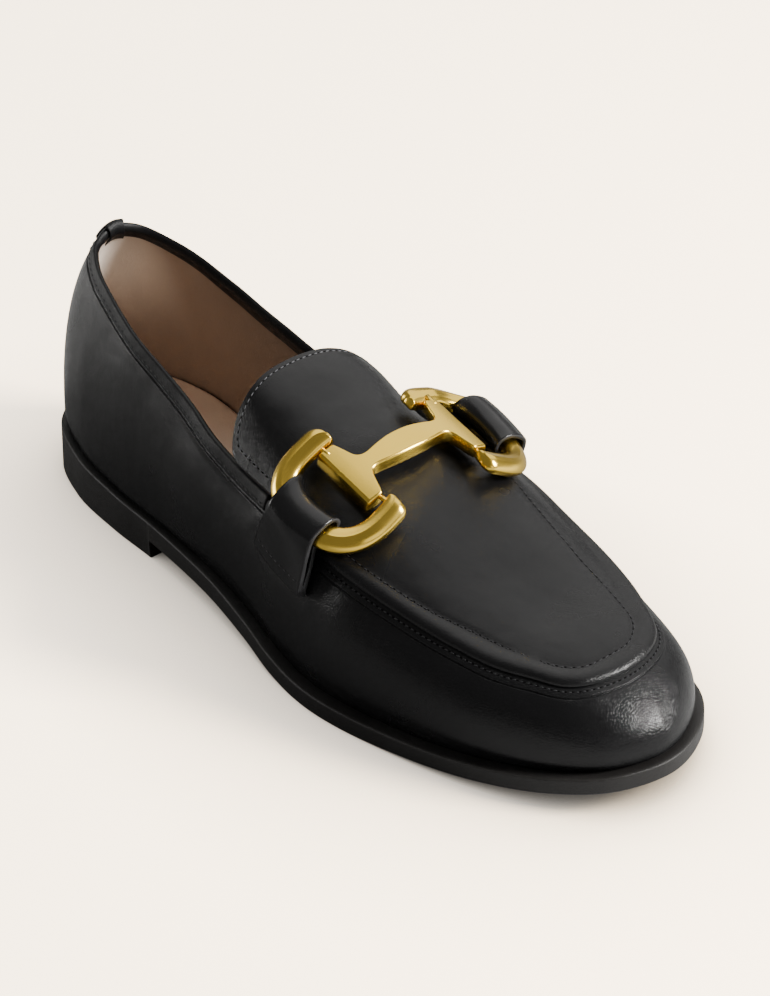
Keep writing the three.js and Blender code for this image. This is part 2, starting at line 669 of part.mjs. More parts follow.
// The leather's edge: round the tongue, beside the topline, then inside the raised seam
function apronEdge(rib) {
  const { t, side, along } = rib;
  const tongueEnd = TONGUE[TONGUE.length - 1].along;
  const seamed = () => seamInside(rib) + degreesFor(t, side, seamInside(rib), CLEARANCE + 0.2);
  if (along > TOPLINE_END + 0.005) return seamed();
  const free = angleAtHalf(t, side, tongueShare(along) * BALL_WIDTH, 0);
  const topline = toplineAngle(rib);
  const beside = topline + degreesFor(t, side, topline, BINDING_THICKNESS + BINDING_PROUD + 3 * CLEARANCE);
  return Math.max(mix(free, beside, ease(tongueEnd - 0.02, tongueEnd + 0.01, along)), beside);
}

// Frame of one ring: origin between its ends, along the shoe, outwards and up
function ringFrame(side) {
  const yaw = -side * Math.tan(RING_YAW * DEGREE);
  const along = new THREE.Vector3(Math.cos(BIT_TILT * DEGREE), yaw, -Math.sin(BIT_TILT * DEGREE)).normalize();
  const droop = RING_DROOP[side] * DEGREE;
  const out = new THREE.Vector3(0, side * Math.cos(droop), -Math.sin(droop));
  out.addScaledVector(along, -out.dot(along)).normalize();
  const up = new THREE.Vector3().crossVectors(out, along).multiplyScalar(side).normalize();
  if (up.z < 0) up.negate();
  const height = BIT_HEIGHT - BARREL_DROP - RING_THICKNESS / 2;
  const origin = new THREE.Vector3(BIT_AT * SHOE_LENGTH, BIT_ASIDE + side * BARREL_OUT, height);
  return { origin, along, out, up };
}

const inFrame = (frame, a, b, c) => frame.origin.clone()
  .addScaledVector(frame.along, a).addScaledVector(frame.out, b).addScaledVector(frame.up, c);

// Centre line of a ring: a rounded D whose arms close in on either end of the barrel
function ringPoint(frame, turn) {
  const c = Math.cos(turn);
  const s = Math.sin(turn);
  if (s <= 0) return inFrame(frame, RING_HALF * c, RING_SHOULDER + RING_ARM * s, 0);
  const round = 2 / RING_SQUARE;
  const a = RING_HALF * Math.sign(c) * Math.abs(c) ** round;
  return inFrame(frame, a, RING_SHOULDER + (RING_DEPTH - RING_SHOULDER) * s ** round, 0);
}

// How far out the ring's centre line runs at a place along it
const ringFar = (a) => RING_SHOULDER
  + (RING_DEPTH - RING_SHOULDER) * (1 - Math.abs(a / RING_HALF) ** RING_SQUARE) ** (1 / RING_SQUARE);

// A ring: its bevelled section carried round the centre line
function ringGeometry(side) {
  const frame = ringFrame(side);
  const steps = 30;
  const start = -RING_RETURN * DEGREE;
  const end = Math.PI - start;
  const w = RING_WIDTH / 2;
  const h = RING_THICKNESS / 2;
  const profile = [[-w, -0.5 * h], [-0.8 * w, 0.45 * h], [-0.1 * w, h], [0.35 * w, h],
    [0.9 * w, 0.4 * h], [w, -0.5 * h], [0.7 * w, -h], [-0.7 * w, -h]];
  const rows = [];
  for (let i = 0; i <= steps; i += 1) {
    const turn = mix(start, end, i / steps);
    const point = ringPoint(frame, turn);
    const ahead = ringPoint(frame, turn + 0.01).sub(ringPoint(frame, turn - 0.01)).normalize();
    const across = new THREE.Vector3().crossVectors(ahead, frame.up).normalize();
    const outward = across.dot(point.clone().sub(inFrame(frame, 0, RING_SHOULDER, 0))) < 0 ? -1 : 1;
    across.multiplyScalar(outward);
    const slim = mix(1, 0.86, ease(0.55, 1, Math.abs(2 * i / steps - 1)));
    rows.push(profile.map(([x, y]) => point.clone()
      .addScaledVector(across, x * slim).addScaledVector(frame.up, y * slim)));
  }
  const skin = new Skin();
  rows.slice(1).forEach((row, i) => skin.band(rows[i], row, true));
  const first = rows[0];
  const last = rows[steps];
  for (let k = 1; k < profile.length - 1; k += 1) {
    skin.face(first[0], first[k + 1], first[k]);
    skin.face(last[0], last[k], last[k + 1]);
  }
  return skin.geometry();
}

// The bit's bar and its two barrels in one casting, cambered over the instep
function bitGeometry() {
  const half = BARREL_LENGTH / 2;
  const inner = BARREL_OUT - BARREL_WIDTH / 2;
  const outer = BARREL_OUT + BARREL_WIDTH / 2;
  const quarter = [
    [BAR_WIDTH / 2, 0], [BAR_WIDTH / 2 - 0.2, inner * 0.3], [BAR_WIDTH / 2 - 0.8, inner * 0.62],
    [NECK_WIDTH / 2, inner * 0.88], [NECK_WIDTH / 2 + 0.6, inner * 1.02], [NECK_WIDTH / 2 + 2.2, inner + 1.1],
    [half - 3.6, inner + 1.9], [half - 1, inner + 2.7], [half, inner + 3.6],
    [half, outer - 1.2], [half - 1, outer],
  ];
  const round = [
    ...quarter,
    ...quarter.slice().reverse().map(([a, b]) => [-a, b]),
    ...quarter.slice(1).map(([a, b]) => [-a, -b]),
    ...quarter.slice(1).reverse().map(([a, b]) => [a, -b]),
  ];
  const skin = new Skin();
  const tilt = BIT_TILT * DEGREE;
  const place = ([a, b], scale, c) => {
    const camber = -BAR_CAMBER * (b / inner) ** 2;
    const inset = [a - Math.sign(a) * scale, b - Math.sign(b) * (Math.abs(b) > BARREL_OUT ? scale : 0)];
    const up = c + camber;
    return new THREE.Vector3(
      BIT_AT * SHOE_LENGTH + inset[0] * Math.cos(tilt) + up * Math.sin(tilt),
      BIT_ASIDE + inset[1], BIT_HEIGHT - inset[0] * Math.sin(tilt) + up * Math.cos(tilt));
  };
  const bevel = 0.8;
  const rows = [[bevel, 0], [0, -bevel], [0, bevel - BAR_THICKNESS], [bevel * 0.7, -BAR_THICKNESS]].map(
    ([scale, c]) => round.map((corner) => place(corner, scale, c)));
  rows.slice(1).forEach((row, i) => skin.band(rows[i], row, true));
  [rows[0], rows[rows.length - 1]].forEach((row, isBottom) => {
    const count = row.length;
    const q = quarter.length;
    // Rungs across the bar from one long side to the other, from one barrel to the next
    for (let k = 0; k < count / 2 - 1; k += 1) {
      const i = (q - 1 - k + count) % count;
      const iNext = (i - 1 + count) % count;
      const j = (q + k) % count;
      const jNext = (j + 1) % count;
      const corners = [row[i], row[j], row[jNext], row[iNext]];
      if (!isBottom) corners.reverse();
      skin.quad(...corners);
    }
  });
  return skin.geometry();
}

// A strap: a loop of leather from its stitched end on the vamp, round the ring and back
function strapGeometry(side) {
  const frame = ringFrame(side);
  const lie = 2 * CLEARANCE;
  const thick = STRAP_THICKNESS;
  const holeWide = RING_WIDTH / 2 + 3.5 * CLEARANCE;
  const holeHigh = RING_THICKNESS / 2 + 2.5 * CLEARANCE;
  const acrossSteps = 5;
  const shell = [];
  for (let i = 0; i <= acrossSteps; i += 1) {
    const share = i / acrossSteps;
    const { from, to, low } = STRAPS[side];
    const t = stationAt(mix(from, to, share));
    const on = (angle, lift) => lastPoint(t, side, angle, lift);
    const a = mix(-STRAP_FOLD / 2, STRAP_FOLD / 2, share) + STRAP_SHIFT;
    const stretch = Math.hypot(1, ringFar(a + 0.5) - ringFar(a - 0.5));
    const near = (b, c) => inFrame(frame, a, ringFar(a) + b * stretch, c);
    const loop = (wide, high) => [
      [0.95, 0.4], [0.5, 0.95], [-0.35, 1], [-0.92, 0.5], [-1, -0.35], [-0.5, -0.95], [0.3, -1],
    ].map(([b, c]) => near(b * wide, c * high));
    const outerLoop = loop(holeWide + thick, holeHigh + thick);
    const innerLoop = loop(holeWide, holeHigh);
    const rib = { t, side, along: mix(from, to, share) };
    const crest = bandAngle(rib);
    const clear = CLEARANCE + 0.7 + SEAM_PROUD * seamGrowth(rib.along);
    const start = on(low, lie + 2.1 * thick);
    const leg = (foot, head, s, puff) => foot.clone().lerp(head, s).addScaledVector(frame.up, puff);
    const frontInner = on(low + 4, lie + 1.25 * thick);
    const outer = [
      start, leg(start, outerLoop[0], 0.35, 0.5),
      leg(start, outerLoop[0], 0.7, 0.6), ...outerLoop,
      on(crest, clear), on(mix(low, crest, 0.5), 1.2 * lie), on(low, lie),
    ];
    const inner = [
      frontInner, leg(frontInner, innerLoop[0], 0.3, 0.3),
      leg(frontInner, innerLoop[0], 0.65, 0.5), ...innerLoop,
      on(crest, clear + thick), on(mix(low, crest, 0.55), 1.2 * lie + thick), on(low + 4, lie + 1.05 * thick),
    ];
    shell.push({ outer, inner });
  }
  const skin = new Skin();
  for (let i = 0; i < acrossSteps; i += 1) {
    skin.band(shell[i].outer, shell[i + 1].outer, true);
    skin.band(shell[i + 1].inner, shell[i].inner, true);
  }
  skin.band(shell[0].inner, shell[0].outer, true);
  skin.band(shell[acrossSteps].outer, shell[acrossSteps].inner, true);
  return skin.geometry();
}

const leather = { color: 0x17171a, roughness: 0.38, metalness: 0 };
const gold = { color: 0xd9a93c, roughness: 0.22, metalness: 1 };

function piece(name, geometry, finish) {
  const mesh = new THREE.Mesh(geometry, new THREE.MeshStandardMaterial(finish));
  mesh.name = name;
  return mesh;
}

const shoe = new THREE.Group();
shoe.add(piece('sole', soleGeometry(), { color: 0x2b2a29, roughness: 0.7, metalness: 0 }));
shoe.add(piece('upper', upperGeometry(), leather));
shoe.add(piece('insole', insoleGeometry(), { color: 0xb58a66, roughness: 0.6, metalness: 0 }));
shoe.add(piece('apron_tongue', apronGeometry(), leather));
shoe.add(piece('topline_binding', bindingGeometry(), leather));
shoe.add(piece('heel_tab', tabGeometry(), leather));
shoe.add(piece('bit_bar', bitGeometry(), gold));
shoe.add(piece('bit_ring_lateral', ringGeometry(-1), gold));
shoe.add(piece('bit_ring_medial', ringGeometry(1), gold));
shoe.add(piece('strap_lateral', strapGeometry(-1), leather));
shoe.add(piece('strap_medial', strapGeometry(1), leather));

const box = new THREE.Box3().setFromObject(shoe);
const middle = box.getCenter(new THREE.Vector3());
shoe.children.forEach((mesh) => mesh.geometry.translate(-middle.x, -middle.y, -box.min.z));

export default shoe;
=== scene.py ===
"""Looks of the women's bit loafer, right shoe: leather, lining, stitches, gold bit and sole.

Shapes are worked out in millimetres from the heel (x along the shoe, y to the medial side,
z up) on the same last as the solids, then moved into the row frame in metres.
"""
import math

import bmesh
import bpy
import numpy as np
from mathutils import Matrix, Vector
from mathutils.bvhtree import BVHTree


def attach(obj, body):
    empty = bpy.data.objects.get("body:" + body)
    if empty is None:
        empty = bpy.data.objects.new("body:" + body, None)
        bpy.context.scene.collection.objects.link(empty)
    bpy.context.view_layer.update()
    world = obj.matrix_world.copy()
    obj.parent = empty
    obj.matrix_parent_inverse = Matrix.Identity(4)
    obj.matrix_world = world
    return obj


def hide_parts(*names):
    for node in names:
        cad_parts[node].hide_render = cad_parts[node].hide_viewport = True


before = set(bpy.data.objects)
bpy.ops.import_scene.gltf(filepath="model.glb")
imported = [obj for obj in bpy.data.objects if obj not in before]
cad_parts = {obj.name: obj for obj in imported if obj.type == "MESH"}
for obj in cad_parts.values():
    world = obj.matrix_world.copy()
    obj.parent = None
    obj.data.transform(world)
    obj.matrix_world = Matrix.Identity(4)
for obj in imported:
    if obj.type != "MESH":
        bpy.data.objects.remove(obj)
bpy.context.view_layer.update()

LENGTH, BALL, HEEL = 265.0, 88.0, 60.0
INSTEP, TOE, BACK = 80.0, 38.5, 81.5
SHANK_RISE, SOLE_THICK, TOE_SPRING, HEEL_FLARE, BREAST = 10.4, 5.0, 8.3, 1.0, 76.0
GAP, WALL, WELT_FORE, WELT_HEEL = 0.3, 2.2, 2.9, 1.5
APRON_FACE, SEAM_HIGH, TONGUE_END = 0.8, 1.9, 0.4178
SPRING_FROM, THROAT, SEAM_FULL, TOPLINE_END = 0.68, 0.55, 0.64, 0.515
SPINE_HEEL, SPINE_TOE, SPINE_ROUND = 0.125, 0.838, 0.045

PLAN = dict(
    along=[0, .038, .117, .208, .295, .396, .498, .566, .642, .743, .857, .934, .981, 1],
    lateral=[-.02, .325, .48, .533, .507, .448, .452, .492, .511, .47, .384, .277, .151, -.028],
    medial=[.02, .35, .472, .46, .375, .262, .277, .356, .466, .491, .441, .351, .199, .028])
SHANK = dict(
    along=[0, .08, .16, .24, .36, .43, .498, .56, .605, .7, .8, 1],
    under=[1, .81, .67, .59, .54, .48, .29, .075, 0, 0, 0, 0],
    edge=[1.32, 1.32, 1.32, 1.32, 1.33, 1.36, 1.34, 1.28, 1.2, 1.15, 1.05, 1])
SECTIONS = dict(
    along=[0, .125, .23, .365, .44, .535, .63, .69, .79, .89, 1],
    ridge=[1.145, 1.085, 1.165, .934, .872, .795, .835, .902, .981, .89, 1],
    square=[1.93, 1.95, 1.82, 2.2, 2.9, 2.55, 2.9, 2.9, 3.05, 2.6, 1.9],
    belly=[0, -.01, .012, .014, 0, .01, .013, .016, .011, .017, .034],
    lateral=[0, 0, 0, -.005, -.03, -.014, -.004, .004, .008, .002, 0],
    medial=[0, .022, .028, .086, .122, .07, .034, .006, -.004, 0, 0],
    centre=[0, -.02, 0, 0, -.005, 0, .008, .02, .026, .022, .034])
TOPLINE = dict(
    along=[0, .015, .042, .075, .113, .15, .2, .255, .31, .365, .415, .468, .515],
    lateral=[1, .99, .972, .955, .928, .9, .85, .795, .738, .684, .643, .611, .592],
    medial=[1, .988, .969, .947, .918, .886, .825, .776, .736, .683, .643, .611, .592])
SEAM = dict(
    along=[.515, .6, .684, .757, .83, .893, .95, 1],
    lateral=[41, 46, 50, 54, 57, 57, 54.5, 56],
    medial=[39, 40, 41, 44, 49, 53, 53.5, 56])
TONGUE = dict(
    along=[TONGUE_END, .419, .4212, .424, .4278, .433, .4388, .45, .47],
    half=[0, .095, .16, .212, .254, .282, .302, .314, .32])
APRON_STITCH = dict(
    along=[.6, .686, .724, .761, .794, .833, .878, .93, .974, 1],
    lateral=[51, 54.5, 57, 60, 63.5, 65.5, 65, 61.5, 60.5, 62],
    medial=[56, 61, 63, 65, 66.5, 65.5, 63.5, 61, 60.5, 62])


def column(table, name):
    """A smooth rising-or-falling curve through one column of a table: cubic pieces whose
    slopes are the harmonic-like mean of the neighbouring rises, zero at a turn."""
    at, value = np.array(table["along"], float), np.array(table[name], float)
    step = np.diff(at)
    rise = np.diff(value) / step
    slope = np.zeros(len(at))
    slope[0], slope[-1] = rise[0], rise[-1]
    mean = (rise[:-1] * step[1:] + rise[1:] * step[:-1]) / (step[1:] + step[:-1])
    most = 3 * np.minimum(abs(rise[:-1]), abs(rise[1:]))
    level = np.sign(mean) * np.minimum(abs(mean), most)
    slope[1:-1] = np.where(rise[:-1] * rise[1:] > 0, level, 0)

    def read(along):
        place = np.clip(along, at[0], at[-1])
        i = np.clip(np.searchsorted(at, place, side="right") - 1, 0, len(at) - 2)
        s = (place - at[i]) / step[i]
        return ((1 + 2 * s) * (1 - s) ** 2 * value[i] + s * (1 - s) ** 2 * step[i] * slope[i]
                + s * s * (3 - 2 * s) * value[i + 1] + s * s * (s - 1) * step[i] * slope[i + 1])
    return read


def ease(low, high, x):
    """0 below low, 1 above high, a smooth S between."""
    s = np.clip((x - low) / (high - low), 0, 1)
    return s * s * (3 - 2 * s)


def mix(a, b, share):
    return a + (b - a) * share


def bump(x, centre, wide):
    """A soft hill one high at centre, zero from wide away on either side."""
    s = np.clip(1 - ((x - centre) / wide) ** 2, 0, 1)
    return s * s


def by_side(table):
    """The lateral and medial columns of a table as one function of side and place."""
    lateral, medial = column(table, "lateral"), column(table, "medial")
    return lambda side, along: np.where(side < 0, lateral(along), medial(along))


shank_rise, shank_edge = column(SHANK, "under"), column(SHANK, "edge")
ridge_share, square_of = column(SECTIONS, "ridge"), column(SECTIONS, "square")
belly_of, centre_of = column(SECTIONS, "belly"), column(SECTIONS, "centre")
swell_of, topline_of, seam_of = by_side(SECTIONS), by_side(TOPLINE), by_side(SEAM)
stitch_of, tongue_half = by_side(APRON_STITCH), column(TONGUE, "half")


def sole_under(x):
    """Underside of the sole: the shank's column, and a power curve up to the toe."""
    spring = np.maximum(0, (x / LENGTH - SPRING_FROM) / (1 - SPRING_FROM))
    return SHANK_RISE * shank_rise(x / LENGTH) + TOE_SPRING * spring ** 1.8


def sole_top(x):
    return sole_under(x) + SOLE_THICK * shank_edge(x / LENGTH)


def plan_points():
    """The outline's control points, heel to toe on the lateral side and back on the medial."""
    along = np.array(PLAN["along"])
    width = mix(HEEL, BALL, ease(0.22, 0.5, along))
    lateral = np.stack([along * LENGTH, -np.array(PLAN["lateral"]) * width], -1)
    medial = np.stack([along * LENGTH, np.array(PLAN["medial"]) * width], -1)
    return np.vstack([lateral, medial[1:-1][::-1]])


PLAN_POINTS = plan_points()


def outline(place):
    """Closed centripetal Catmull-Rom curve through the plan points, place 0 to 1."""
    count = len(PLAN_POINTS)
    place = np.mod(place, 1) * count
    i = np.floor(place).astype(int)
    w = (place - i)[..., None]
    p0, p1, p2, p3 = (PLAN_POINTS[(i + k) % count] for k in (-1, 0, 1, 2))

    def apart(a, b):
        return (((a - b) ** 2).sum(-1) ** 0.25)[..., None]
    d0, d1, d2 = apart(p0, p1), apart(p1, p2), apart(p2, p3)
    t1 = ((p1 - p0) / d0 - (p2 - p0) / (d0 + d1) + (p2 - p1) / d1) * d1
    t2 = ((p2 - p1) / d1 - (p3 - p1) / (d1 + d2) + (p3 - p2) / d2) * d1
    return (p1 + t1 * w + (-3 * p1 + 3 * p2 - 2 * t1 - t2) * w ** 2
            + (2 * p1 - 2 * p2 + t1 + t2) * w ** 3)


def outline_at(t, side, grow):
    """A point of the outline at t from heel to toe on one side, moved outwards by grow."""
    place = np.where(side < 0, t / 2, 1 - t / 2)
    point = outline(place)
    ahead = outline(place + 1e-4) - outline(place - 1e-4)
    ahead /= np.linalg.norm(ahead, axis=-1, keepdims=True)
    return np.stack([point[..., 0] + ahead[..., 1] * grow,
                     point[..., 1] - ahead[..., 0] * grow], -1)


T_LIST = np.linspace(0, 1, 4001)
ALONG_LIST = (outline_at(T_LIST, -1, 0)[:, 0] + outline_at(T_LIST, 1, 0)[:, 0]) / 2 / LENGTH


def along_of(t):
    return np.interp(t, T_LIST, ALONG_LIST)


def station(along):
    return np.interp(along, ALONG_LIST, T_LIST)


def spine_of(along):
    """Where a rib meets the top line: its own place, held between the heel's and the toe's."""
    capped = (along + SPINE_TOE - np.hypot(along - SPINE_TOE, SPINE_ROUND)) / 2
    return (capped + SPINE_HEEL + np.hypot(capped - SPINE_HEEL, SPINE_ROUND)) / 2


def flare(along):
    return HEEL_FLARE * (1 - ease(0.15, 0.4, along))


def last(t, side, angle, lift):
    """A point of the last: a rib leaves its foot on the sole and climbs a superellipse's
    quarter, cosine to the power 2/square in plan and sine likewise in height, swelled by a
    sine of twice the angle, raised off the last by lift."""
    t, side, angle, lift = np.broadcast_arrays(t, side, angle, lift)
    turn = np.radians(angle)
    along = along_of(t)
    welt = mix(WELT_HEEL, WELT_FORE, ease(0.25, 0.6, along)) + flare(along)
    foot = outline_at(t, side, lift - welt)
    spine = spine_of(along)
    top = np.stack([spine * LENGTH, centre_of(along) * BALL], -1)
    power = 2 / square_of(along)
    out = np.maximum(np.cos(turn), 0) ** power
    up = np.maximum(np.sin(turn), 0) ** power
    low = np.sin(2 * turn) * np.cos(turn) ** 2
    puff = (belly_of(along) * low + swell_of(side, along) * np.sin(2 * turn)) * BALL
    radial = foot - top
    reach = np.linalg.norm(radial, axis=-1)
    plan = top + radial * ((reach * out + puff) / reach)[..., None]
    base = sole_top(foot[..., 0]) + GAP
    crown = ridge_share(spine) * mix(INSTEP, TOE, ease(0.5, 0.83, spine)) + lift
    return np.concatenate([plan, mix(base, crown, up)[..., None]], -1)


def solve(rising, target, low, high):
    """Whole-array halving for rising(angle) = target."""
    a, b = np.full(np.shape(target), float(low)), np.full(np.shape(target), float(high))
    for _ in range(34):
        middle = (a + b) / 2
        under = rising(middle) < target
        a, b = np.where(under, middle, a), np.where(under, b, middle)
    return (a + b) / 2


def degrees_for(t, side, angle, length=1.0):
    """Degrees of rib that cover a length at an angle."""
    ahead = last(t, side, np.minimum(angle + 0.5, 90), 0.0)
    behind = last(t, side, np.maximum(angle - 0.5, 0), 0.0)
    return length / np.linalg.norm(ahead - behind, axis=-1)


def topline_angle(t, side):
    height = topline_of(side, along_of(t)) * BACK
    return solve(lambda angle: last(t, side, angle, 0.0)[..., 2], height, 0, 90)


def band_angle(t, side):
    """The topline's angle, passing into the apron seam's under the straps."""
    along = along_of(t)
    share = ease(TOPLINE_END, TOPLINE_END + 0.03, along)
    return mix(topline_angle(t, side), seam_of(side, along), share)


def edge_angle(t, side):
    """Where the upper's wall ends: the topline, then an arc under the tongue to the middle."""
    along = along_of(t)
    s = np.clip((along - TOPLINE_END) / (THROAT - TOPLINE_END), 0, 1)
    arc = mix(band_angle(t, side), 90, 1 - np.sqrt(1 - s * s))
    return np.where(along <= TOPLINE_END, topline_angle(t, side), arc)


def seam_growth(along):
    return ease(TOPLINE_END + 0.005, SEAM_FULL, along)


def centre_y():
    points = outline(np.linspace(0, 1, 2001))[:, 1]
    return (points.min() + points.max()) / 2


CENTRE = np.array([LENGTH / 2, centre_y(), 0.0])


def to_row(points):
    """Millimetres from the heel to metres in the row frame."""
    return (np.asarray(points, float) - CENTRE) / 1000


def add_mesh(name, points, faces, materials, marks=None, merge=0.0):
    """A mesh object from whole arrays of points and faces, smooth, faces turned outwards. The
    marks give each face's material, and points nearer than merge, in metres, become one."""
    mesh = bpy.data.meshes.new(name)
    mesh.from_pydata(to_row(points.reshape(-1, 3)).tolist(), [], faces)
    for material in materials if isinstance(materials, tuple) else (materials,):
        mesh.materials.append(material)
    if marks is not None:
        mesh.polygons.foreach_set("material_index", np.asarray(marks, np.int32))
    work = bmesh.new()
    work.from_mesh(mesh)
    if merge:
        bmesh.ops.remove_doubles(work, verts=work.verts, dist=merge)
        bmesh.ops.dissolve_degenerate(work, dist=merge / 4, edges=work.edges)
    bmesh.ops.recalc_face_normals(work, faces=work.faces)
    work.to_mesh(mesh)
    work.free()
    mesh.polygons.foreach_set("use_smooth", np.ones(len(mesh.polygons), bool))
    mesh.update()
    thing = bpy.data.objects.new(name, mesh)
    bpy.context.scene.collection.objects.link(thing)
    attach(thing, "root")
    return thing


def grid_faces(rows, columns, wrap_rows=False, wrap_columns=False, first=0):
    """Quads between neighbouring points of a grid, joined up where a direction wraps."""
    i = np.arange(rows if wrap_rows else rows - 1)
    j = np.arange(columns if wrap_columns else columns - 1)
    i, j = np.meshgrid(i, j, indexing="ij")
    i2, j2 = (i + 1) % rows, (j + 1) % columns
    quads = np.stack([i * columns + j, i * columns + j2, i2 * columns + j2, i2 * columns + j], -1)
    return (quads.reshape(-1, 4) + first).tolist()


def tube_faces(rows, columns):
    """Faces of a tube: each column of the grid is a loop, and one face closes either end."""
    start = [i * columns for i in range(rows)]
    end = [i * columns + columns - 1 for i in range(rows)]
    return grid_faces(rows, columns, True, False) + [start, end[::-1]]


def slab(top, low):
    """Two equal grids of points, closed by a strip along either long edge."""
    rows, columns = top.shape[:2]
    count = rows * columns
    faces = grid_faces(rows, columns) + grid_faces(rows, columns, first=count)
    i = np.arange(rows - 1)
    for j in (0, columns - 1):
        a, b = i * columns + j, (i + 1) * columns + j
        faces += np.stack([a, b, b + count, a + count], -1).tolist()
    return np.stack([top, low]), faces


def spline(points, count, closed):
    """Catmull-Rom curve through points (first axis), read at count even places."""
    points = np.asarray(points, float)
    size = len(points)
    spans = size if closed else size - 1
    place = np.linspace(0, spans, count, endpoint=not closed)
    i = np.minimum(place.astype(int), spans - 1)
    w = (place - i).reshape((-1,) + (1,) * (points.ndim - 1))

    def pick(k):
        return points[(i + k) % size] if closed else points[np.clip(i + k, 0, size - 1)]
    p0, p1, p2, p3 = pick(-1), pick(0), pick(1), pick(2)
    return 0.5 * (2 * p1 + (p2 - p0) * w + (2 * p0 - 5 * p1 + 4 * p2 - p3) * w ** 2
                  + (3 * p1 - p0 - 3 * p2 + p3) * w ** 3)


def node_group(name, inputs, outputs):
    """An empty shader group with named inputs (name, socket, value) and outputs."""
    group = bpy.data.node_groups.new(name, "ShaderNodeTree")
    for label, kind, value in inputs:
        group.interface.new_socket(label, in_out="INPUT", socket_type=kind).default_value = value
    for label, kind in outputs:
        group.interface.new_socket(label, in_out="OUTPUT", socket_type=kind)
    return group, group.nodes.new("NodeGroupInput"), group.nodes.new("NodeGroupOutput")


def put(tree, kind, values, out=0, **settings):
    """One node with its settings and its inputs by name or place, each a number, a colour or
    the socket that feeds it. Gives back the output named or numbered by out."""
    node = tree.nodes.new(kind)
    for key, value in settings.items():
        setattr(node, key, value)
    for key, value in values.items():
        if isinstance(value, bpy.types.NodeSocket):
            tree.links.new(value, node.inputs[key])
        else:
            node.inputs[key].default_value = value
    return node.outputs[out]


def position(tree):
    return put(tree, "ShaderNodeTexCoord", {}, "Object")


def maths(tree, operation, a, b, clamp=False):
    return put(tree, "ShaderNodeMath", {0: a, 1: b}, operation=operation, use_clamp=clamp)


def remap(tree, value, low, high, start=0.0, end=1.0, way="LINEAR"):
    """The value's way from low to high turned into start to end, and held there outside."""
    return put(tree, "ShaderNodeMapRange", {0: value, 1: low, 2: high, 3: start, 4: end},
               interpolation_type=way)


def noise(tree, scale, detail, roughness=0.5):
    return put(tree, "ShaderNodeTexNoise", {"Vector": position(tree), "Scale": scale,
                                            "Detail": detail, "Roughness": roughness}, "Fac")


def blend(tree, share, first, second):
    return put(tree, "ShaderNodeMix", {0: share, 6: first, 7: second}, 2, data_type="RGBA")


def raised(tree, height, strength, metres):
    return put(tree, "ShaderNodeBump", {"Height": height, "Strength": strength, "Distance": metres})


def build_grain():
    """Leather grain: small pebbles from cell edges, finer pores, a slow tone and puckers."""
    group, enter, leave = node_group(
        "leather_grain",
        [("Pebbles", "NodeSocketFloat", 900.0), ("Pores", "NodeSocketFloat", 0.4)],
        [("Height", "NodeSocketFloat"), ("Tone", "NodeSocketFloat"), ("Pucker", "NodeSocketFloat")])
    cells = put(group, "ShaderNodeTexVoronoi",
                {"Vector": position(group), "Scale": enter.outputs["Pebbles"], "Randomness": 1.0},
                "Distance", feature="DISTANCE_TO_EDGE")
    pores = maths(group, "MULTIPLY", noise(group, 3200.0, 2.0), enter.outputs["Pores"])
    height = maths(group, "ADD", remap(group, cells, 0.0, 0.16), pores)
    for name, socket in (("Height", height), ("Tone", noise(group, 38.0, 3.0)),
                         ("Pucker", noise(group, 75.0, 2.5, 0.45))):
        group.links.new(socket, leave.inputs[name])
    return group


def build_wear():
    """Edge wear: a mask that rises where the surface is sharply convex, broken up by noise."""
    group, enter, leave = node_group(
        "edge_wear",
        [("Spread", "NodeSocketFloat", 12.0), ("Break", "NodeSocketFloat", 260.0)],
        [("Mask", "NodeSocketFloat")])
    bent = put(group, "ShaderNodeNewGeometry", {}, "Pointiness")
    strong = maths(group, "MULTIPLY", maths(group, "SUBTRACT", bent, 0.5), enter.outputs["Spread"])
    patchy = noise(group, enter.outputs["Break"], 2.0)
    group.links.new(maths(group, "MULTIPLY", strong, patchy, True), leave.inputs["Mask"])
    return group


GRAIN, WEAR = build_grain(), build_wear()
PEBBLE_DEEP, PUCKER_DEEP = 0.00012, 0.0012
# Metres over which the lining's painted highlight comes in, towards the back and towards the top of
# the heel.
PAINTED_LIGHT_BACK, PAINTED_LIGHT_HIGH = (-0.1, -0.126), (0.03, 0.072)


def principled(name):
    material = bpy.data.materials.new(name)
    material.use_nodes = True
    return material, material.node_tree, material.node_tree.nodes["Principled BSDF"]


def feed(tree, shader, **sockets):
    for name, socket in sockets.items():
        tree.links.new(socket, shader.inputs[name.replace("_", " ")])


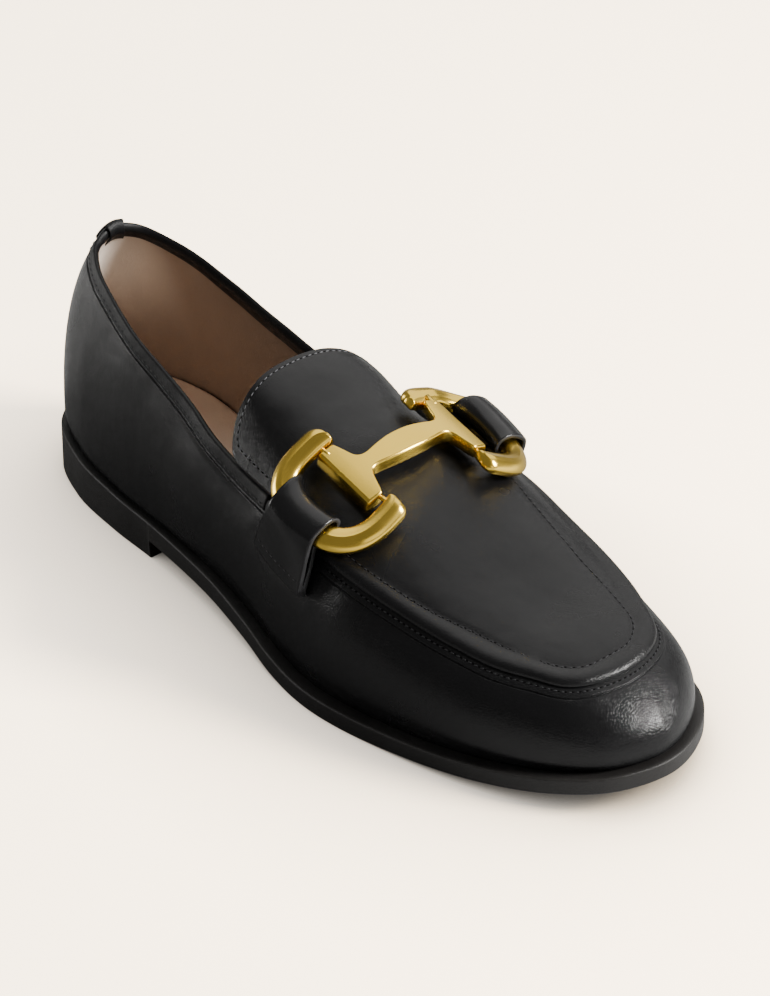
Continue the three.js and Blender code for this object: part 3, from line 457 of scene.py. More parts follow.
def leather(name, dark, light, rough, bumpy, pebbles=900.0, pores=0.4, worn=None, shine=0.25,
            painted_light=None):
    """Leather: colour and roughness drift with the slow tone, grain in the bump, edges worn to
    a lighter colour where one is given, and a painted highlight where asked: a paler colour
    towards the top of the heel, where the light falls."""
    material, tree, shader = principled(name)
    shader.inputs["Specular IOR Level"].default_value = shine
    grain = put(tree, "ShaderNodeGroup", {"Pebbles": pebbles, "Pores": pores},
                node_tree=GRAIN).node.outputs
    colour = blend(tree, grain["Tone"], (*dark, 1), (*light, 1))
    lift = raised(tree, grain["Height"], bumpy, PEBBLE_DEEP)
    tree.links.new(raised(tree, grain["Pucker"], 0.5, PUCKER_DEEP), lift.node.inputs["Normal"])
    if worn:
        wear = put(tree, "ShaderNodeGroup", {}, "Mask", node_tree=WEAR)
        colour = blend(tree, wear, colour, (*worn, 1))
    # Painted highlight: a paler colour towards the back and top of the heel, where the light falls.
    if painted_light:
        axes = put(tree, "ShaderNodeSeparateXYZ", {0: position(tree)}).node.outputs
        back = remap(tree, axes["X"], *PAINTED_LIGHT_BACK, way="SMOOTHSTEP")
        high = remap(tree, axes["Z"], *PAINTED_LIGHT_HIGH, way="SMOOTHSTEP")
        colour = blend(tree, maths(tree, "MULTIPLY", back, high), colour, (*painted_light, 1))
    feed(tree, shader, Base_Color=colour, Roughness=remap(tree, grain["Tone"], 0.3, 0.7, *rough),
         Normal=lift)
    return material


def gilt():
    """Polished gold-plated metal: warm yellow, faint cloudy roughness and polishing marks."""
    material, tree, shader = principled("gilt_metal")
    shader.inputs["Metallic"].default_value = 1.0
    cloud = noise(tree, 90.0, 3.0)
    feed(tree, shader, Roughness=remap(tree, cloud, 0.3, 0.7, 0.2, 0.27),
         Base_Color=blend(tree, cloud, (0.85, 0.57, 0.075, 1), (0.93, 0.64, 0.11, 1)),
         Normal=raised(tree, noise(tree, 55.0, 1.0), 0.12, 0.0006))
    return material


WORN = (0.012, 0.012, 0.0125)
BLACK = leather("black_leather", (0.0036, 0.0036, 0.004), (0.0056, 0.0056, 0.006), (0.21, 0.29),
                0.3, 1500, 0.3, WORN, 0.26)
BLACK_STRAP = leather("black_strap_leather", (0.0038, 0.0038, 0.0042), (0.0055, 0.0055, 0.006),
                      (0.17, 0.25), 0.14, 1500, 0.3, WORN, 0.36)
BLACK_EDGE = leather("black_binding_leather", (0.0034, 0.0034, 0.0038), (0.005, 0.005, 0.0055),
                     (0.34, 0.44), 0.3, 1200, 0.5, shine=0.16)
CUT = leather("cut_leather_edge", (0.02, 0.02, 0.021), (0.04, 0.04, 0.042), (0.55, 0.7),
              0.5, 700, 1.0)
# The lining is paler at the top of the heel as painted highlight.
LINING = leather("lining_leather", (0.28, 0.2, 0.15), (0.33, 0.245, 0.185), (0.5, 0.62),
                 0.25, 650, 0.6, painted_light=(1.0, 0.88, 0.76))
SOCK = leather("insole_leather", (0.8, 0.64, 0.5), (0.87, 0.7, 0.56), (0.5, 0.62), 0.25, 650, 0.6)
# Black thread like the rest, made lighter as painted highlight for the glints on the tongue's
# stitches.
HIGHLIT_TONGUE_THREAD = leather("tongue_thread_painted_highlight", (0.05, 0.05, 0.055), (0.09, 0.09, 0.1), (0.38, 0.5),
                        0.4, 2600, 0.6, shine=0.5)
THREAD = leather("black_thread", (0.008, 0.008, 0.009), (0.02, 0.02, 0.022), (0.38, 0.5),
                 0.4, 2600, 0.6)
RUBBER = leather("sole_rubber", (0.008, 0.0074, 0.007), (0.014, 0.0128, 0.012), (0.45, 0.58),
                 0.35, 1500, 1.0, (0.02, 0.0185, 0.017), 0.35)
# Painted shade: a near-black matt bead set in each needle hole, where only shade falls.
NEEDLE_HOLE_SHADE = leather("needle_hole_shadow", (0.0012, 0.0012, 0.0012), (0.0018, 0.0018, 0.0018),
               (0.8, 0.9), 0.2, shine=0.05)
GILT = gilt()
SKIN, LINING_FACE, LINING_BACK = 0.9, 2.15, 1.3
WELD = 2e-6


def loop_of(samples):
    """Stations heel to toe on the lateral side and back on the medial, in one closed loop."""
    t = np.concatenate([samples, samples[-2:0:-1]])
    side = np.concatenate([-np.ones(len(samples)), np.ones(len(samples) - 2)])
    return t[None], side[None]


def even_samples(count, *extra):
    """Evenly spaced stations, and one more at each place that has to be met exactly."""
    return np.unique(np.concatenate([np.linspace(0, 1, count), [station(e) for e in extra]]))


def round_heel(places):
    """Stations and sides from the lateral side round the heel to the medial side."""
    t = station(places)
    return np.append(t[::-1], t[1:]), np.append(-np.ones(len(t)), np.ones(len(t) - 1))


def round_toe(places):
    """Stations and sides from the lateral side round the toe to the medial side."""
    t = station(places)
    return np.append(t, t[-2::-1]), np.append(-np.ones(len(t)), np.ones(len(t) - 1))


def creases(t, side, angle):
    """Millimetres of soft troughs and hills set in the shoe's own lengths: a shallow
    roll across the flex of the vamp, a dip at either waist, a fuller heel and folds by the
    strap's foot."""
    along = along_of(t)
    flex = 0.16 * bump(along, 0.665, 0.022) - 0.22 * bump(along, 0.638, 0.026)
    flex = flex * bump(angle, 26, 24)
    waist = -0.45 * bump(along, 0.40, 0.11) * bump(angle, 34, 26)
    heel = 0.25 * bump(along, 0.09, 0.08) * bump(angle, 38, 30)
    slanted = along - 0.0016 * angle
    fold = 0.2 * bump(slanted, 0.452, 0.012) - 0.24 * bump(slanted, 0.468, 0.014)
    fold = fold * bump(angle, 34, 18)
    return flex + waist + heel + fold


def shell(outer, inner):
    """Two skins of equal loops made one closed wall: out and up one, back down the other."""
    rows = np.concatenate([outer, inner[::-1]])
    return rows, grid_faces(rows.shape[0], rows.shape[1], True, True)


def upper_angles(t, side, low_count, near, cover_count, reach):
    """Angles up each rib: even from the foot, at the places near (millimetres from the band),
    then even to the wall's edge. Also the band's angle and its degrees for a millimetre."""
    band, edge = band_angle(t, side), edge_angle(t, side)
    per = degrees_for(t, side, band)
    low = np.linspace(0, 1, low_count)[:, None] * (band - reach * per)
    close = band + near[:, None] * per
    cover = mix(band, edge, np.linspace(0, 1, cover_count)[1:, None])
    return np.concatenate([low, close, cover]), band, per


def make_upper():
    """Outer leather: the last's surface with a groove at the feather line, a step for the
    binding, a ledge with a fine fold line outside the raised seam, and the apron's bed."""
    t, side = loop_of(even_samples(230, TOPLINE_END, THROAT))
    near = np.concatenate([np.linspace(-9, -6.2, 6)[1:], np.linspace(-6, -4.8, 9),
                           np.linspace(-4.6, 0, 16)])
    angle, band, per = upper_angles(t, side, 30, near, 8, 9)
    along = along_of(t)
    off = (angle - band) / per
    grown = seam_growth(along)
    tucked = 1 - ease(0, 2.2, angle / per * 0.9)
    under_bind = -0.5 * ease(-4.75, -4.45, off) * (1 - ease(0.505, 0.525, along))
    bed = -1.35 * ease(-1.2, 0.0, off) * ease(0.51, 0.53, along)
    fold_line = (0.34 * ease(-5.6, -5.25, off) - 0.22 * bump(off, -5.6, 0.42)) * grown
    lift = creases(t, side, angle) * (1 - ease(-7, -4, off)) - 0.9 * tucked
    lift = lift + under_bind + bed + fold_line
    outer = last(t, side, angle, lift)
    inner = last(t, side, angle, np.minimum(lift - SKIN, -1.1))
    points, faces = shell(outer, inner)
    thing = add_mesh("upper_outer_leather", points, faces, BLACK, merge=WELD)
    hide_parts("upper")


def make_lining():
    """Lining: a thin wall inside the outer leather, with a wrinkle on either quarter."""
    t, side = loop_of(even_samples(150, TOPLINE_END, THROAT))
    angle, band, per = upper_angles(t, side, 22, np.linspace(-9, 0, 8)[1:], 6, 9)
    along = along_of(t)
    wrinkle = 0.5 * bump(along + 0.004 * angle, 0.43, 0.03) * bump(angle, 20, 16)
    thin = -0.25 * ease(-5, -4, (angle - band) / per) * (1 - ease(0.505, 0.525, along))
    points, faces = shell(last(t, side, angle, thin - LINING_BACK),
                          last(t, side, angle, -LINING_FACE - wrinkle))
    add_mesh("lining", points, faces, LINING, merge=WELD)


def apron_edge(t, side):
    """Edge of apron and tongue: the tongue's half width, then beside the topline, then over
    the crest of the seam and down its outer side."""
    along = along_of(t)
    wide = tongue_half(along) * BALL
    free = solve(lambda angle: -abs(last(t, side, angle, 0.0)[..., 1]), -wide + 0 * t, 35, 90)
    top = topline_angle(t, side)
    beside = top + degrees_for(t, side, top, 1.8)
    rear = np.maximum(mix(free, beside, ease(0.45, 0.48, along)), beside)
    band = band_angle(t, side)
    over = band - degrees_for(t, side, band, 2.3) * seam_growth(along)
    return mix(rear, over, ease(0.518, 0.548, along))


def apron_lift(t, side, angle):
    """Height of the apron's face over the last: flat, a stitch groove, then the rolled seam."""
    along = along_of(t)
    band = band_angle(t, side)
    per = degrees_for(t, side, band)
    off = (angle - band) / per
    grown = seam_growth(along)
    roll = SEAM_HIGH * np.clip(1 - (np.clip(-off - 0.2, 0, 9) / 2.3) ** 2, 0, 1) ** 0.5
    inside = mix(APRON_FACE, SEAM_HIGH, 1 - ease(0.2, 4.2, off))
    seam = np.where(off < -0.2, roll, inside)
    stitch = (stitch_of(side, along) - band) / per
    groove = -0.22 * bump(off, stitch, 1.3) * ease(0.60, 0.66, along)
    puff = 0.35 * bump(along, 0.5, 0.09) * bump(angle, 90, 40)
    return mix(APRON_FACE, seam, grown) + groove + puff


def soothe(thing, middle, reach, rounds):
    """Points within reach of middle, seen from above, drawn to their neighbours' mean again
    and again, less towards the rim, so that the fan of ribs ends without a dimple."""
    work = bmesh.new()
    work.from_mesh(thing.data)
    work.verts.ensure_lookup_table()
    place = np.zeros(len(thing.data.vertices) * 3)
    thing.data.vertices.foreach_get("co", place)
    middle = to_row([*middle, 0])[:2]
    apart = np.linalg.norm(place.reshape(-1, 3)[:, :2] - middle, axis=1) * 1000
    for part in (1.0, 0.8, 0.6):
        near = [work.verts[i] for i in np.flatnonzero(apart < reach * part)]
        for _ in range(rounds // 3):
            bmesh.ops.smooth_vert(work, verts=near, factor=0.5,
                                  use_axis_x=True, use_axis_y=True, use_axis_z=True)
    work.to_mesh(thing.data)
    work.free()


def make_apron():
    """Apron and tongue: one leather over the instep, a grid from the tongue's end to the toe
    and from one edge over the ridge to the other; the ends close in a point and a line."""
    tip = TONGUE_END + 0.055 * np.linspace(0, 1, 34) ** 2.2
    rear = np.linspace(TONGUE_END + 0.055, SPINE_TOE, 90)[1:]
    toe = 1 - (1 - SPINE_TOE) * (1 - np.sin(np.linspace(0, 1, 44) * math.pi / 2))[1:]
    t = station(np.concatenate([tip, rear, toe]))[:, None]
    near = np.array([0, 0.12, 0.35, 0.7, 1.1, 1.6, 2.1, 2.7, 3.4, 4.1, 4.9, 5.7, 6.5, 7.3, 8.1,
                     9, 10.2])[None]

    def half(side):
        side = np.full_like(t, side)
        edge = apron_edge(t, side)
        per = degrees_for(t, side, np.maximum(edge, 20))
        start = np.minimum(edge + near * per, 90)
        rest = mix(start[:, -1:], 90, np.linspace(0, 1, 16)[None, 1:])
        share = np.clip((90 - edge) / np.maximum(near.max() * per, 1e-6), 0, 1)
        start = np.where(share < 1, mix(edge, 90, near / near.max()), start)
        return np.concatenate([start, rest], 1)
    lateral, medial = half(-1.0), half(1.0)
    angle = np.concatenate([lateral, medial[:, -2::-1]], 1)
    side = np.concatenate([-np.ones_like(lateral), np.ones_like(medial[:, 1:])], 1)
    lift = apron_lift(t, side, angle)
    points, faces = slab(last(t, side, angle, lift),
                         last(t, side, angle, np.minimum(lift - SKIN, APRON_FACE - 1.5)))
    thing = add_mesh("apron_and_tongue", points, faces, BLACK, merge=WELD)
    soothe(thing, [SPINE_TOE * LENGTH, 1.5], 17, 60)
    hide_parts("apron_tongue")
    return thing


def strip_over(name, t, side, profile, material):
    """A closed profile (millimetres up from the topline, and lift) carried along ribs."""
    base = topline_angle(t, side)
    angle = base + degrees_for(t, side, base) * profile[:, 0:1]
    points = last(t, side, angle, profile[:, 1:2] + 0 * t)
    return add_mesh(name, points, tube_faces(*points.shape[:2]), material)


def make_binding():
    """Binding: a folded strip with a round turn over the topline."""
    t, side = round_heel(np.linspace(0, TOPLINE_END - 0.004, 170))
    corners = [[-4.2, 0.05], [-4.05, 0.3], [-3, 0.36], [-1, 0.36], [-0.1, 0.25], [0.4, -0.2],
               [0.62, -1.1], [0.4, -2.0], [-0.1, -2.45], [-1, -2.56], [-3, -2.56], [-4.1, -2.5],
               [-4.2, -2.25], [-3, -2.0], [-0.8, -1.95], [-0.2, -1.1], [-0.8, -0.3], [-3, -0.22]]
    profile = spline(np.array(corners) + [0.6, 0], 54, True)
    thing = strip_over("topline_binding_leather", t, side, profile, BLACK_EDGE)
    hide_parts("topline_binding")


def make_tab():
    """Heel tab: a short stiff strip folded over the binding at the back."""
    t, side = round_heel(np.linspace(0, 0.1, 23) ** 2)
    corners = [[-5.2, 0.7], [-5, 1.3], [-3, 1.4], [0, 1.4], [1.1, 1.0], [1.8, 0], [2.0, -1.1],
               [1.8, -2.2], [1.1, -3.2], [0, -3.5], [-2, -3.5], [-3.4, -3.4], [-3.6, -3.05],
               [-2, -2.85], [0, -2.8], [0.9, -2.4], [1.1, -1.1], [0.9, 0.2], [0, 0.62], [-3, 0.65]]
    profile = spline(np.array(corners) + [0.3, 0], 60, True)
    thing = strip_over("heel_tab_leather", t, side, profile, BLACK_EDGE)
    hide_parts("heel_tab")


def make_insole():
    """Insole: a plate over the sole with a rolled edge inside the lining."""
    t = even_samples(150)[:, None]
    inset = -(WALL + 2 * GAP) - 0.1

    def rim(side):
        target = sole_top(along_of(t) * LENGTH) + GAP
        angle = solve(lambda a: last(t, side, a, inset)[..., 2], target, 0, 90)
        return last(t, side, angle, inset)[..., :2]
    share = np.sin(np.linspace(-1, 1, 41) * math.pi / 2)[None]
    plan = mix(rim(-1.0), rim(1.0), (share[..., None] + 1) / 2)
    roll = 1 - np.sqrt(np.clip(1 - np.clip((abs(share) - 0.93) / 0.07, 0, 1) ** 2, 0, 1))
    low = sole_top(plan[..., 0]) + GAP
    top = low + 2.5 - 0.9 * roll
    points, faces = slab(*(np.concatenate([plan, z[..., None]], -1) for z in (top, low)))
    thing = add_mesh("insole_sock", points, faces, SOCK, merge=WELD)
    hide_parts("insole")


def make_sole():
    """Sole: loops round its edge from the tread up to the seat, with a breast behind the
    waist, a trimmed flat side and small rounded edges above and below. Each step is a growth
    outwards and a height over the tread (0), as a share of the side (1) or over the top (2)."""
    breast = station(BREAST / LENGTH)
    lateral = np.unique(np.concatenate([even_samples(200), [breast - 1e-5, breast + 1e-5]]))
    t, side = loop_of(lateral)
    x = outline_at(t, side, 0.0)[..., 0]
    low, high = np.where(x < BREAST, 0.0, sole_under(x)), sole_top(x)
    tall = high - low
    steps = [(-0.7, 0.0, 0), (-0.35, 0.04, 0), (-0.1, 0.2, 0), (0.0, 0.5, 0), (0.0, 0.7, 0),
             (0.0, 0.5, 1), (0.0, -0.7, 2), (0.0, -0.5, 2), (-0.08, -0.24, 2), (-0.28, -0.06, 2),
             (-0.5, 0.0, 2), (-1.1, 0.0, 2), (-1.6, -0.05, 2)]
    rows = []
    for grow, rise, kind in steps:
        z = (low + rise, low + tall * rise, high + rise)[kind]
        plan = outline_at(t, side, grow - flare(along_of(t)) * np.clip((z - low) / tall, 0, 1))
        rows.append(np.concatenate([plan, z[..., None]], -1)[0])
    half, count = len(lateral), t.shape[1]

    def other(k):
        return (count - k) % count
    flat = [[a, a + 1, other(a + 1), other(a)] if other(a) != a else [a, a + 1, other(a + 1)]
            for a in range(half - 1) if other(a + 1) != a + 1] + [[half - 2, half - 1, half]]
    top = (len(rows) - 1) * count
    faces = grid_faces(len(rows), count, False, True) + flat + [[top + k for k in f] for f in flat]
    thing = add_mesh("sole_and_heel", np.stack(rows), faces, RUBBER)
    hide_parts("sole")


BIT_AT, BIT_HIGH, BIT_ASIDE, BIT_TILT = 0.6045 * LENGTH, 66.5, 1.0, math.radians(15)
BAR_WIDE, NECK_WIDE, BAR_CAMBER = 8.8, 6.2, 1.8
BARREL_LONG, BARREL_WIDE, BARREL_OUT, BARREL_DROP = 23.0, 8.2, 17.6, 1.2
RING_WIDE, RING_THICK, RING_HALF, RING_DEEP, RING_SHOULDER = 7.4, 4.4, 16.4, 20.4, 5.4
RING_SQUARE, RING_ARM, RING_RETURN, RING_YAW = 2.5, 25.0, math.radians(15), math.radians(5.5)
RING_TIP = 0.13
RING_DROOP = {-1: math.radians(27.5), 1: math.radians(31)}
REAR_ARM, REAR_BEND = {-1: 32.5, 1: 38.5}, {-1: 0.0, 1: 1.7}
STRAP_THICK, STRAP_FOLD, STRAP_SHIFT = 1.2, 18.0, -2.2
STRAPS = {-1: (0.522, 0.618, 25.0), 1: (0.482, 0.604, 19.5)}
SIDE_NAME = {-1: "lateral", 1: "medial"}


def unit(v):
    return v / np.linalg.norm(v, axis=-1, keepdims=True)


def ring_frame(side):
    """Origin between a ring's ends, and its directions along, outwards and up."""
    along = unit(np.array([math.cos(BIT_TILT), -side * math.tan(RING_YAW), -math.sin(BIT_TILT)]))
    out = np.array([0, side * math.cos(RING_DROOP[side]), -math.sin(RING_DROOP[side])])
    out = unit(out - out.dot(along) * along)
    up = unit(np.cross(out, along) * side)
    up = up if up[2] > 0 else -up
    high = BIT_HIGH - BARREL_DROP - RING_THICK / 2
    return np.array([BIT_AT, BIT_ASIDE + side * BARREL_OUT, high]), along, out, up


def ring_far(a):
    """How far out the ring's centre line runs at a place along it: a superellipse."""
    round_off = (1 - abs(a / RING_HALF) ** RING_SQUARE) ** (1 / RING_SQUARE)
    return RING_SHOULDER + (RING_DEEP - RING_SHOULDER) * round_off


def ring_line(side, turn):
    """Centre line of a ring: a superellipse's half round its far side, then two arms that
    close in slowly, cosine and sine, past either end of the barrel, the rear one longer. The
    medial ring hangs a little lower towards its rear arm, by its bend."""
    origin, along, out, up = ring_frame(side)
    c, s = np.cos(turn), np.sin(turn)
    power = 2 / RING_SQUARE
    a = np.where(s > 0, RING_HALF * np.sign(c) * abs(c) ** power, RING_HALF * c)
    arm = np.where(c < 0, REAR_ARM[side], RING_ARM)
    b = np.where(s > 0, (RING_DEEP - RING_SHOULDER) * abs(s) ** power, arm * s) + RING_SHOULDER
    bend = REAR_BEND[side] * (ease(0.6, 1, -c) + np.maximum(0, -s) / 0.26 * (c < 0))
    return origin + a[..., None] * along + b[..., None] * out - bend[..., None] * up


def make_ring(side):
    """A ring: a domed section with a soft crest carried round its centre line. Near its two
    ends the outer edge is drawn in by a quarter circle, then the end is closed."""
    origin, _, out, up = ring_frame(side)
    ends = -RING_RETURN + RING_TIP * np.linspace(0, 1, 12) ** 1.4
    long_way = np.linspace(-RING_RETURN + RING_TIP, math.pi + RING_RETURN - RING_TIP, 110)[1:-1]
    turn = np.concatenate([ends, long_way, (math.pi - ends)[::-1]])
    line = ring_line(side, turn)
    ahead = unit(ring_line(side, turn + 0.01) - ring_line(side, turn - 0.01))
    across = unit(np.cross(ahead, up))
    outward = line - (origin + RING_SHOULDER * out)
    across *= np.where((outward * across).sum(-1, keepdims=True) < 0, -1, 1)
    w, h = RING_WIDE / 2, RING_THICK / 2
    corners = np.array([[-1, -0.5], [-0.95, 0.3], [-0.62, 0.78], [-0.1, 0.97], [0.1, 1],
                        [0.55, 0.76], [0.94, 0.16], [1, -0.45], [0.8, -0.97], [0, -1],
                        [-0.85, -0.97]]) * [w, h]
    section = spline(corners, 44, True)
    near = np.minimum(turn + RING_RETURN, math.pi + RING_RETURN - turn) / RING_TIP
    quarter = np.sqrt(1 - (1 - np.clip(near, 0, 1)) ** 2)
    aside = (section[:, 0, None] + w) * (0.5 + 0.5 * quarter) - w
    high = section[:, 1, None] * (0.72 + 0.28 * quarter)
    points = line[None] + aside[..., None] * across[None] + high[..., None] * up
    caps = []
    for k, way in ((0, -1), (-1, 1)):
        centre = points[:, k].mean(0)
        caps.append([centre + (points[:, k] - centre) * size + way * push * ahead[k]
                     for size, push in ((0.93, 0.22), (0.72, 0.42))])
    points = np.concatenate([np.stack(caps[0][::-1], 1), points, np.stack(caps[1], 1)], 1)
    name = SIDE_NAME[side]
    thing = add_mesh("bit_ring_" + name + "_gilt", points, tube_faces(*points.shape[:2]), GILT)
    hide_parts("bit_ring_" + name)


def bit_plan():
    """A quarter of the bit in plan: points (along, out) from the middle of the bar's side
    through the waisted neck and round a barrel."""
    inner, outer = BARREL_OUT - BARREL_WIDE / 2, BARREL_OUT + BARREL_WIDE / 2
    half, bar, neck = BARREL_LONG / 2, BAR_WIDE / 2, NECK_WIDE / 2
    curve = spline([[bar, 0], [bar - 0.15, inner * 0.3], [bar - 0.75, inner * 0.62],
                    [neck, inner * 0.86], [neck + 0.35, inner * 0.99], [neck + 1.6, inner + 0.9],
                    [half - 3.8, inner + 1.8], [half - 1.2, inner + 2.6]], 46, False)
    end = [[half - 0.35, inner + 3.0], [half, inner + 3.7], [half, BARREL_OUT + 0.9],
           [half, outer - 0.9], [half - 0.3, outer - 0.25], [half - 1.0, outer]]
    return np.concatenate([curve, end])


def make_bit():
    """Bar and barrels: the plan outline drawn in by a bevel's rounded steps between a flat
    top and a flat underside, cambered by the square of the distance out and tilted."""
    quarter = bit_plan()
    ring = np.concatenate([quarter, quarter[::-1] * [-1, 1], quarter[1:] * [-1, -1],
                           quarter[1:][::-1] * [1, -1]])
    ahead = unit(np.roll(ring, -1, 0) - np.roll(ring, 1, 0))
    inward = np.stack([-ahead[:, 1], ahead[:, 0]], -1)
    inward *= -1 if (inward * (ring * [1, 0.2])).sum(-1).mean() > 0 else 1
    steps = [(1.0, 0), (0.85, 0), (0.72, -0.03), (0.42, -0.3), (0.3, -0.46), (0.24, -0.6),
             (0.05, -2.6), (0, -3.2), (0.05, -3.8), (0.35, -4.4), (0.8, -4.72), (1.2, -4.8)]

    def place(plan, drop):
        up = drop - BAR_CAMBER * (plan[..., 1] / (BARREL_OUT - BARREL_WIDE / 2)) ** 2
        x = BIT_AT + plan[..., 0] * math.cos(BIT_TILT) + up * math.sin(BIT_TILT)
        z = BIT_HIGH - plan[..., 0] * math.sin(BIT_TILT) + up * math.cos(BIT_TILT)
        return np.stack([x, BIT_ASIDE + plan[..., 1], z], -1)
    points = [place(ring + inward * inset, drop) for inset, drop in steps]
    count, size, between = len(ring), len(quarter), 5
    faces = grid_faces(len(points), count, False, True)
    k = np.arange(count // 2)
    i, j = (size - 1 - k) % count, (size + k) % count
    total = len(steps) * count
    for row in (0, len(steps) - 1):
        inset, drop = steps[row]
        flat = ring + inward * inset
        share = np.linspace(0, 1, between + 2)[1:-1, None, None]
        grid = np.concatenate([[row * count + i],
                               total + np.arange(between * len(k)).reshape(between, -1),
                               [row * count + j]])
        quads = [grid[:-1, :-1], grid[1:, :-1], grid[1:, 1:], grid[:-1, 1:]]
        faces += np.stack(quads, -1).reshape(-1, 4).tolist()
        points.append(place(mix(flat[i], flat[j], share).reshape(-1, 2), drop))
        total += between * len(k)
    thing = add_mesh("bit_bar_gilt", np.concatenate(points), faces, GILT)
    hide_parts("bit_bar")


def make_pins():
    """Ring pins: a short round neck from each barrel's end into the ring's end."""
    around, radius, bevel = 16, 0.8, 0.1
    turn = np.linspace(0, 2 * math.pi, around, endpoint=False)[None, :, None]
    points, faces = [], []
    for side in (-1, 1):
        origin, along, out, up = ring_frame(side)
        for way in (-1, 1):
            end = -RING_RETURN if way > 0 else math.pi + RING_RETURN
            length = abs((ring_line(side, np.array([end]))[0] - origin) @ along)
            spans = np.array([BARREL_LONG / 2 - 1.5 - bevel, BARREL_LONG / 2 - 1.5,
                              length - 1.5 - bevel, length - 1.5]) * way
            wide = np.array([0.2, radius, radius, 0.2])[:, None, None]
            seat = origin + 1.2 * out - 0.7 * up
            ring = seat + spans[:, None, None] * along + wide * (np.cos(turn) * out
                                                                 + np.sin(turn) * up)
            first = len(points) * 4 * around
            points.append(ring.reshape(-1, 3))
            faces += grid_faces(4, around, False, True, first)
            faces += [[first + k for k in range(around)][::-1],
                      [first + 3 * around + k for k in range(around)]]
    add_mesh("bit_ring_pins", np.concatenate(points), faces, GILT)


def strap_sections(side, share):
    """Outer and inner loops of a strap at shares of its width: stitched end, free leg, round
    the ring's far side, back over the seam to the stitched end."""
    origin, along, out, up = ring_frame(side)
    first, final, low = STRAPS[side]
    place = mix(first, final, share)
    t = station(place)
    a = mix(-STRAP_FOLD / 2, STRAP_FOLD / 2, share) + STRAP_SHIFT
    stretch = np.hypot(1, ring_far(a + 0.5) - ring_far(a - 0.5))
    crest = band_angle(t, side)
    clear = GAP + 0.7 + SEAM_HIGH * seam_growth(place)
    lie = 2 * GAP

    def on(angle, lift):
        return last(t, float(side), angle + 0 * t, lift + 0 * t)

    def near(b, c):
        return origin + a[:, None] * along + (ring_far(a) + b * stretch)[:, None] * out + c * up
    wide, high = RING_WIDE / 2 + 3 * GAP, RING_THICK / 2 + 2 * GAP
    turn = [[0.95, 0.4], [0.5, 0.95], [-0.35, 1], [-0.92, 0.5], [-1, -0.35], [-0.5, -0.95],
            [0.3, -1]]
    outside = [near(b * (wide + STRAP_THICK), c * (high + STRAP_THICK)) for b, c in turn]
    inside = [near(b * wide, c * high) for b, c in turn]
    start, under = on(low, lie + 2.1 * STRAP_THICK), on(low + 4, lie + 1.25 * STRAP_THICK)
    outer = [start, mix(start, outside[0], 0.35) + 0.5 * up, mix(start, outside[0], 0.7) + 0.6 * up,
             *outside, on(crest, clear), on(mix(low, crest, 0.5), 1.2 * lie), on(low, lie)]
    inner = [under, mix(under, inside[0], 0.3) + 0.3 * up, mix(under, inside[0], 0.65) + 0.5 * up,
             *inside, on(crest, clear + STRAP_THICK),
             on(mix(low, crest, 0.55), 1.2 * lie + STRAP_THICK),
             on(low + 4, lie + 1.05 * STRAP_THICK)]
    return np.array(outer), np.array(inner)


def make_strap(side):
    """Strap: outer and inner splines through its section's points, side by side across the
    width, closed at both cut edges, which show the raw leather."""
    m, n, across = 90, 84, 25
    outer, inner = strap_sections(side, np.linspace(0, 1, across))
    rows = np.concatenate([spline(outer, m, False), spline(inner, n, False)[::-1]])
    skins = grid_faces(m, across) + grid_faces(n, across, first=m * across)
    ends = ((0, (m - 1) * across), ((m + n - 1) * across, m * across))
    cut = [[a + j, a + j + 1, b + j + 1, b + j] for a, b in ends for j in range(across - 1)]
    mate = m + n - 1 - np.round(np.linspace(0, n - 1, m)).astype(int)
    for j in (0, across - 1):
        o, p = (np.arange(m) * across + j).tolist(), (mate * across + j).tolist()
        cut += [[o[k], o[k + 1], p[k + 1], p[k]][:4 if p[k] != p[k + 1] else 3]
                for k in range(m - 1)]
        cut.append([o[-1], o[0], p[0], p[-1]])
    name = SIDE_NAME[side]
    thing = add_mesh("strap_" + name + "_leather", rows, skins + cut, (BLACK_STRAP, CUT),
                     marks=[0] * len(skins) + [1] * len(cut))
    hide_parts("strap_" + name)


